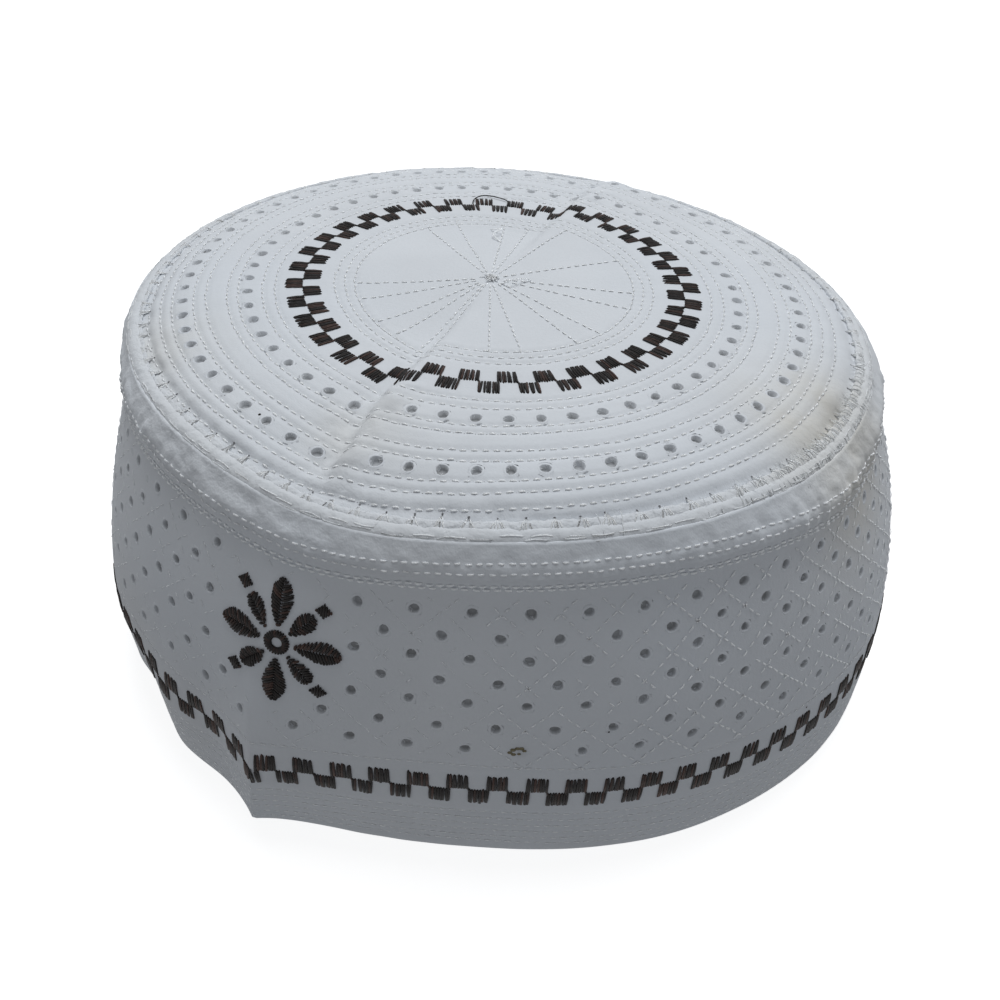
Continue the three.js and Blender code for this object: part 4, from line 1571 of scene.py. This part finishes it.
    def whipping(self, form, holes, hole_radius, draw):
        """Threads from each hole on the crown over the ridge into the crease beyond it, spread
        like a tent, and arcs of thread that run along the lip."""
        count = len(holes)
        groups = []
        for strand in range(5):
            lean = draw.normal((strand - 2) * 0.30, 0.12, count) * 360.0 / count * 0.5
            t = np.linspace(0, 1, 7)[None, :]
            turns = np.radians(160 - draw.uniform(130, 165, (count, 1)) * t)
            around = holes[:, None] + lean[:, None] * t ** 0.8
            path = self.lumpy(form, around, turns, draw.uniform(1.00, 1.04, (count, 1)))
            path[:, 0] = form.crown_face(holes, hole_radius)[0] - [0, 0, 0.2 * MM]
            path[:, 1] = (path[:, 0] + path[:, 2]) / 2 + [0, 0, 0.04 * MM]
            up = unit(path - self.ridge_point(form, around, turns, 0.0))
            thin = 0.17 * MM * np.array([0, 0.8, 1, 1, 1, 0.8, 0])
            groups.append((path, up, thin, 5, 0.45))
        for place, thickness in ((46.0, 0.13), (32.0, 0.10), (14.0, 0.12)):
            t = np.linspace(-0.02, 1.02, 6)[None, :]
            around = (np.arange(count)[:, None] + t + draw.normal(0, 0.12, (count, 1))) * 360.0 / count
            sway = draw.normal(0, 0.10, (count, 1)) + draw.normal(0, 0.13, (count, 1)) * np.sin(math.pi * t)
            turns = np.radians(place) + sway
            path = self.lip_point(form, around, turns, 1.02 + draw.normal(0, 0.01, (count, 1)))
            up = unit(path - self.lip_point(form, around, turns, 0.0))
            path[:, 0] -= up[:, 0] * 0.3 * MM
            path[:, -1] -= up[:, -1] * 0.3 * MM
            groups.append((path, up, thickness * MM * np.array([0, 1, 1, 1, 1, 0]), 5, 0.5))
        return groups

    def worn_corner(self, form, draw):
        """Close threads laid square across the ridge and the lip, out on to the roll."""
        n = 110
        around = draw.normal(321, 13, n)
        t = np.linspace(0, 1, 9)[None, :]
        turns = np.radians(172 - 190 * t)
        wander = draw.normal(0, 0.9, (n, 1)) * t
        path = self.lumpy(form, around[:, None] + wander, turns, draw.uniform(1.03, 1.12, (n, 1)))
        inward = form.crown_face(around, form.seam_radius(around) - draw.uniform(2.2, 3.8, n) * MM)
        path[:, 0] = inward[0] - inward[3] * 0.12 * MM
        path[:, 1] = (path[:, 0] + path[:, 2]) / 2 + [0, 0, 0.12 * MM]
        lower = form.band_face(around + wander[:, -1], draw.uniform(0.006, 0.030, n))
        path[:, -3] = self.lip_point(form, around + wander[:, -3], math.radians(50), 1.05)
        path[:, -2] = self.lip_point(form, around + wander[:, -2], math.radians(22), 1.05)
        path[:, -1] = lower[0] - lower[3] * 0.1 * MM
        up = unit(path - self.ridge_point(form, around[:, None], turns, 0.0))
        return path, up, 0.085 * MM * np.array([0, 0.9, 1, 1, 1, 1, 1, 0.8, 0]), 4, 0.4


def free_thread(points_mm, count=24):
    """A smooth thread of cubic pieces through a few points."""
    p = np.array(points_mm, float) * MM
    p = np.concatenate([[2 * p[0] - p[1]], p, [2 * p[-1] - p[-2]]])
    place = np.linspace(0, len(p) - 3 - 1e-6, count)
    k = np.floor(place).astype(int)
    return cubic(*(p[k + shift] for shift in range(4)), (place - k)[:, None])


class CAP_OT_marks(bpy.types.Operator):
    """Adds the loose thread ends and the small dark specks."""

    bl_idname = "cap.marks"
    bl_label = "Loose ends and specks"

    def over_crown(self, form, rows):
        """Points above the crown from direction, radius and lift."""
        points = []
        for degrees, radius, lift in rows:
            place = form.crown_face(np.array([float(degrees)]), np.array([radius * MM]))[0][0]
            points.append((place + [0, 0, lift * MM]) / MM)
        return free_thread(points)

    def execute(self, context):
        form = current_form()
        up = np.array([0.1, 0.2, 1.0])
        white = [
            self.over_crown(form, [(93.5, 27.5, -0.2), (92.6, 26.6, 0.4), (88.0, 25.5, 1.2),
                                   (92.5, 23.0, 0.9), (89.7, 21.3, 0.3), (86.0, 20.0, -0.2)]),
            self.over_crown(form, [(300.0, 2.5, -0.2), (320.0, 4.5, 1.4), (350.0, 6.0, 1.0),
                                   (2.0, 8.0, 0.2)]),
            self.over_crown(form, [(203.5, 74.5, -0.2), (205.5, 76.5, 1.2), (208.5, 77.0, 0.9),
                                   (211.5, 78.6, 0.6), (213.5, 76.0, 0.2)]),
        ]
        thin = 0.15 * MM * np.concatenate([[0.0], np.ones(22), [0.0]])
        add_strands("loose_white_threads", [(np.array(white), up, thin, 5, 1.0)], "white_thread", 91)
        dark = [self.over_crown(form, [(99.0, 41.6, -0.2), (98.4, 43.5, 0.5), (96.0, 45.8, 0.6),
                                       (93.0, 46.3, 0.5), (90.4, 45.6, 0.5), (87.6, 44.6, 0.4),
                                       (86.4, 43.2, -0.2)])]
        add_strands("loose_dark_thread", [(np.array(dark), up, thin, 5, 1.0)], "dark_thread", 92)
        for k, speck in enumerate(CROWN_SPECKS):
            add_marks("crown_speck_%d" % k, form.crown_face, np.array([speck["angle"]]),
                      np.array([speck["radius_mm"] * MM]), speck["size_mm"] * MM, "dark_speck")
        for k, speck in enumerate(BAND_SPECKS):
            add_marks("band_speck_%d" % k, form.band_face, np.array([speck["angle"]]),
                      np.array([speck["level"]]), speck["size_mm"] * MM, "dark_speck")
        columns = [np.array([spot[key] for spot in BAND_STAIN]) for key in ("angle", "level", "size_mm")]
        add_marks("band_stain", form.band_face, columns[0], columns[1], columns[2] * MM, "brown_stain", 0.8)
        return {"FINISHED"}


OPERATORS = (
    CAP_OT_stage,
    CAP_OT_crown,
    CAP_OT_band,
    CAP_OT_eyelets,
    CAP_OT_crown_stitches,
    CAP_OT_band_stitches,
    CAP_OT_lattice,
    CAP_OT_borders,
    CAP_OT_rosette,
    CAP_OT_seam,
    CAP_OT_marks,
)


class CAP_PT_panel(bpy.types.Panel):
    """Lists the cap's pieces, sizes and colours."""

    bl_idname = "CAP_PT_panel"
    bl_label = "Prayer cap"
    bl_space_type = "VIEW_3D"
    bl_region_type = "UI"
    bl_category = "Cap"

    def draw(self, context):
        for operator in OPERATORS:
            self.layout.operator(operator.bl_idname)
        for name in ("cap_sizes", "cap_stitches", "cap_colours"):
            group = getattr(context.scene, name)
            box = self.layout.box()
            for key in group.__annotations__:
                box.prop(group, key)


CLASSES = (CapSizes, StitchSizes, CapColours) + OPERATORS + (CAP_PT_panel,)


def register():
    for cls in CLASSES:
        bpy.utils.register_class(cls)
    bpy.types.Scene.cap_sizes = PointerProperty(type=CapSizes)
    bpy.types.Scene.cap_stitches = PointerProperty(type=StitchSizes)
    bpy.types.Scene.cap_colours = PointerProperty(type=CapColours)


def unregister():
    del bpy.types.Scene.cap_colours
    del bpy.types.Scene.cap_stitches
    del bpy.types.Scene.cap_sizes
    for cls in reversed(CLASSES):
        bpy.utils.unregister_class(cls)


def main():
    """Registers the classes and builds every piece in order."""
    register()
    bpy.ops.cap.stage()
    bpy.ops.cap.crown()
    bpy.ops.cap.band()
    bpy.ops.cap.eyelets()
    bpy.ops.cap.crown_stitches()
    bpy.ops.cap.band_stitches()
    bpy.ops.cap.lattice()
    bpy.ops.cap.borders()
    bpy.ops.cap.rosette()
    bpy.ops.cap.seam()
    bpy.ops.cap.marks()


if __name__ == "__main__":
    main()
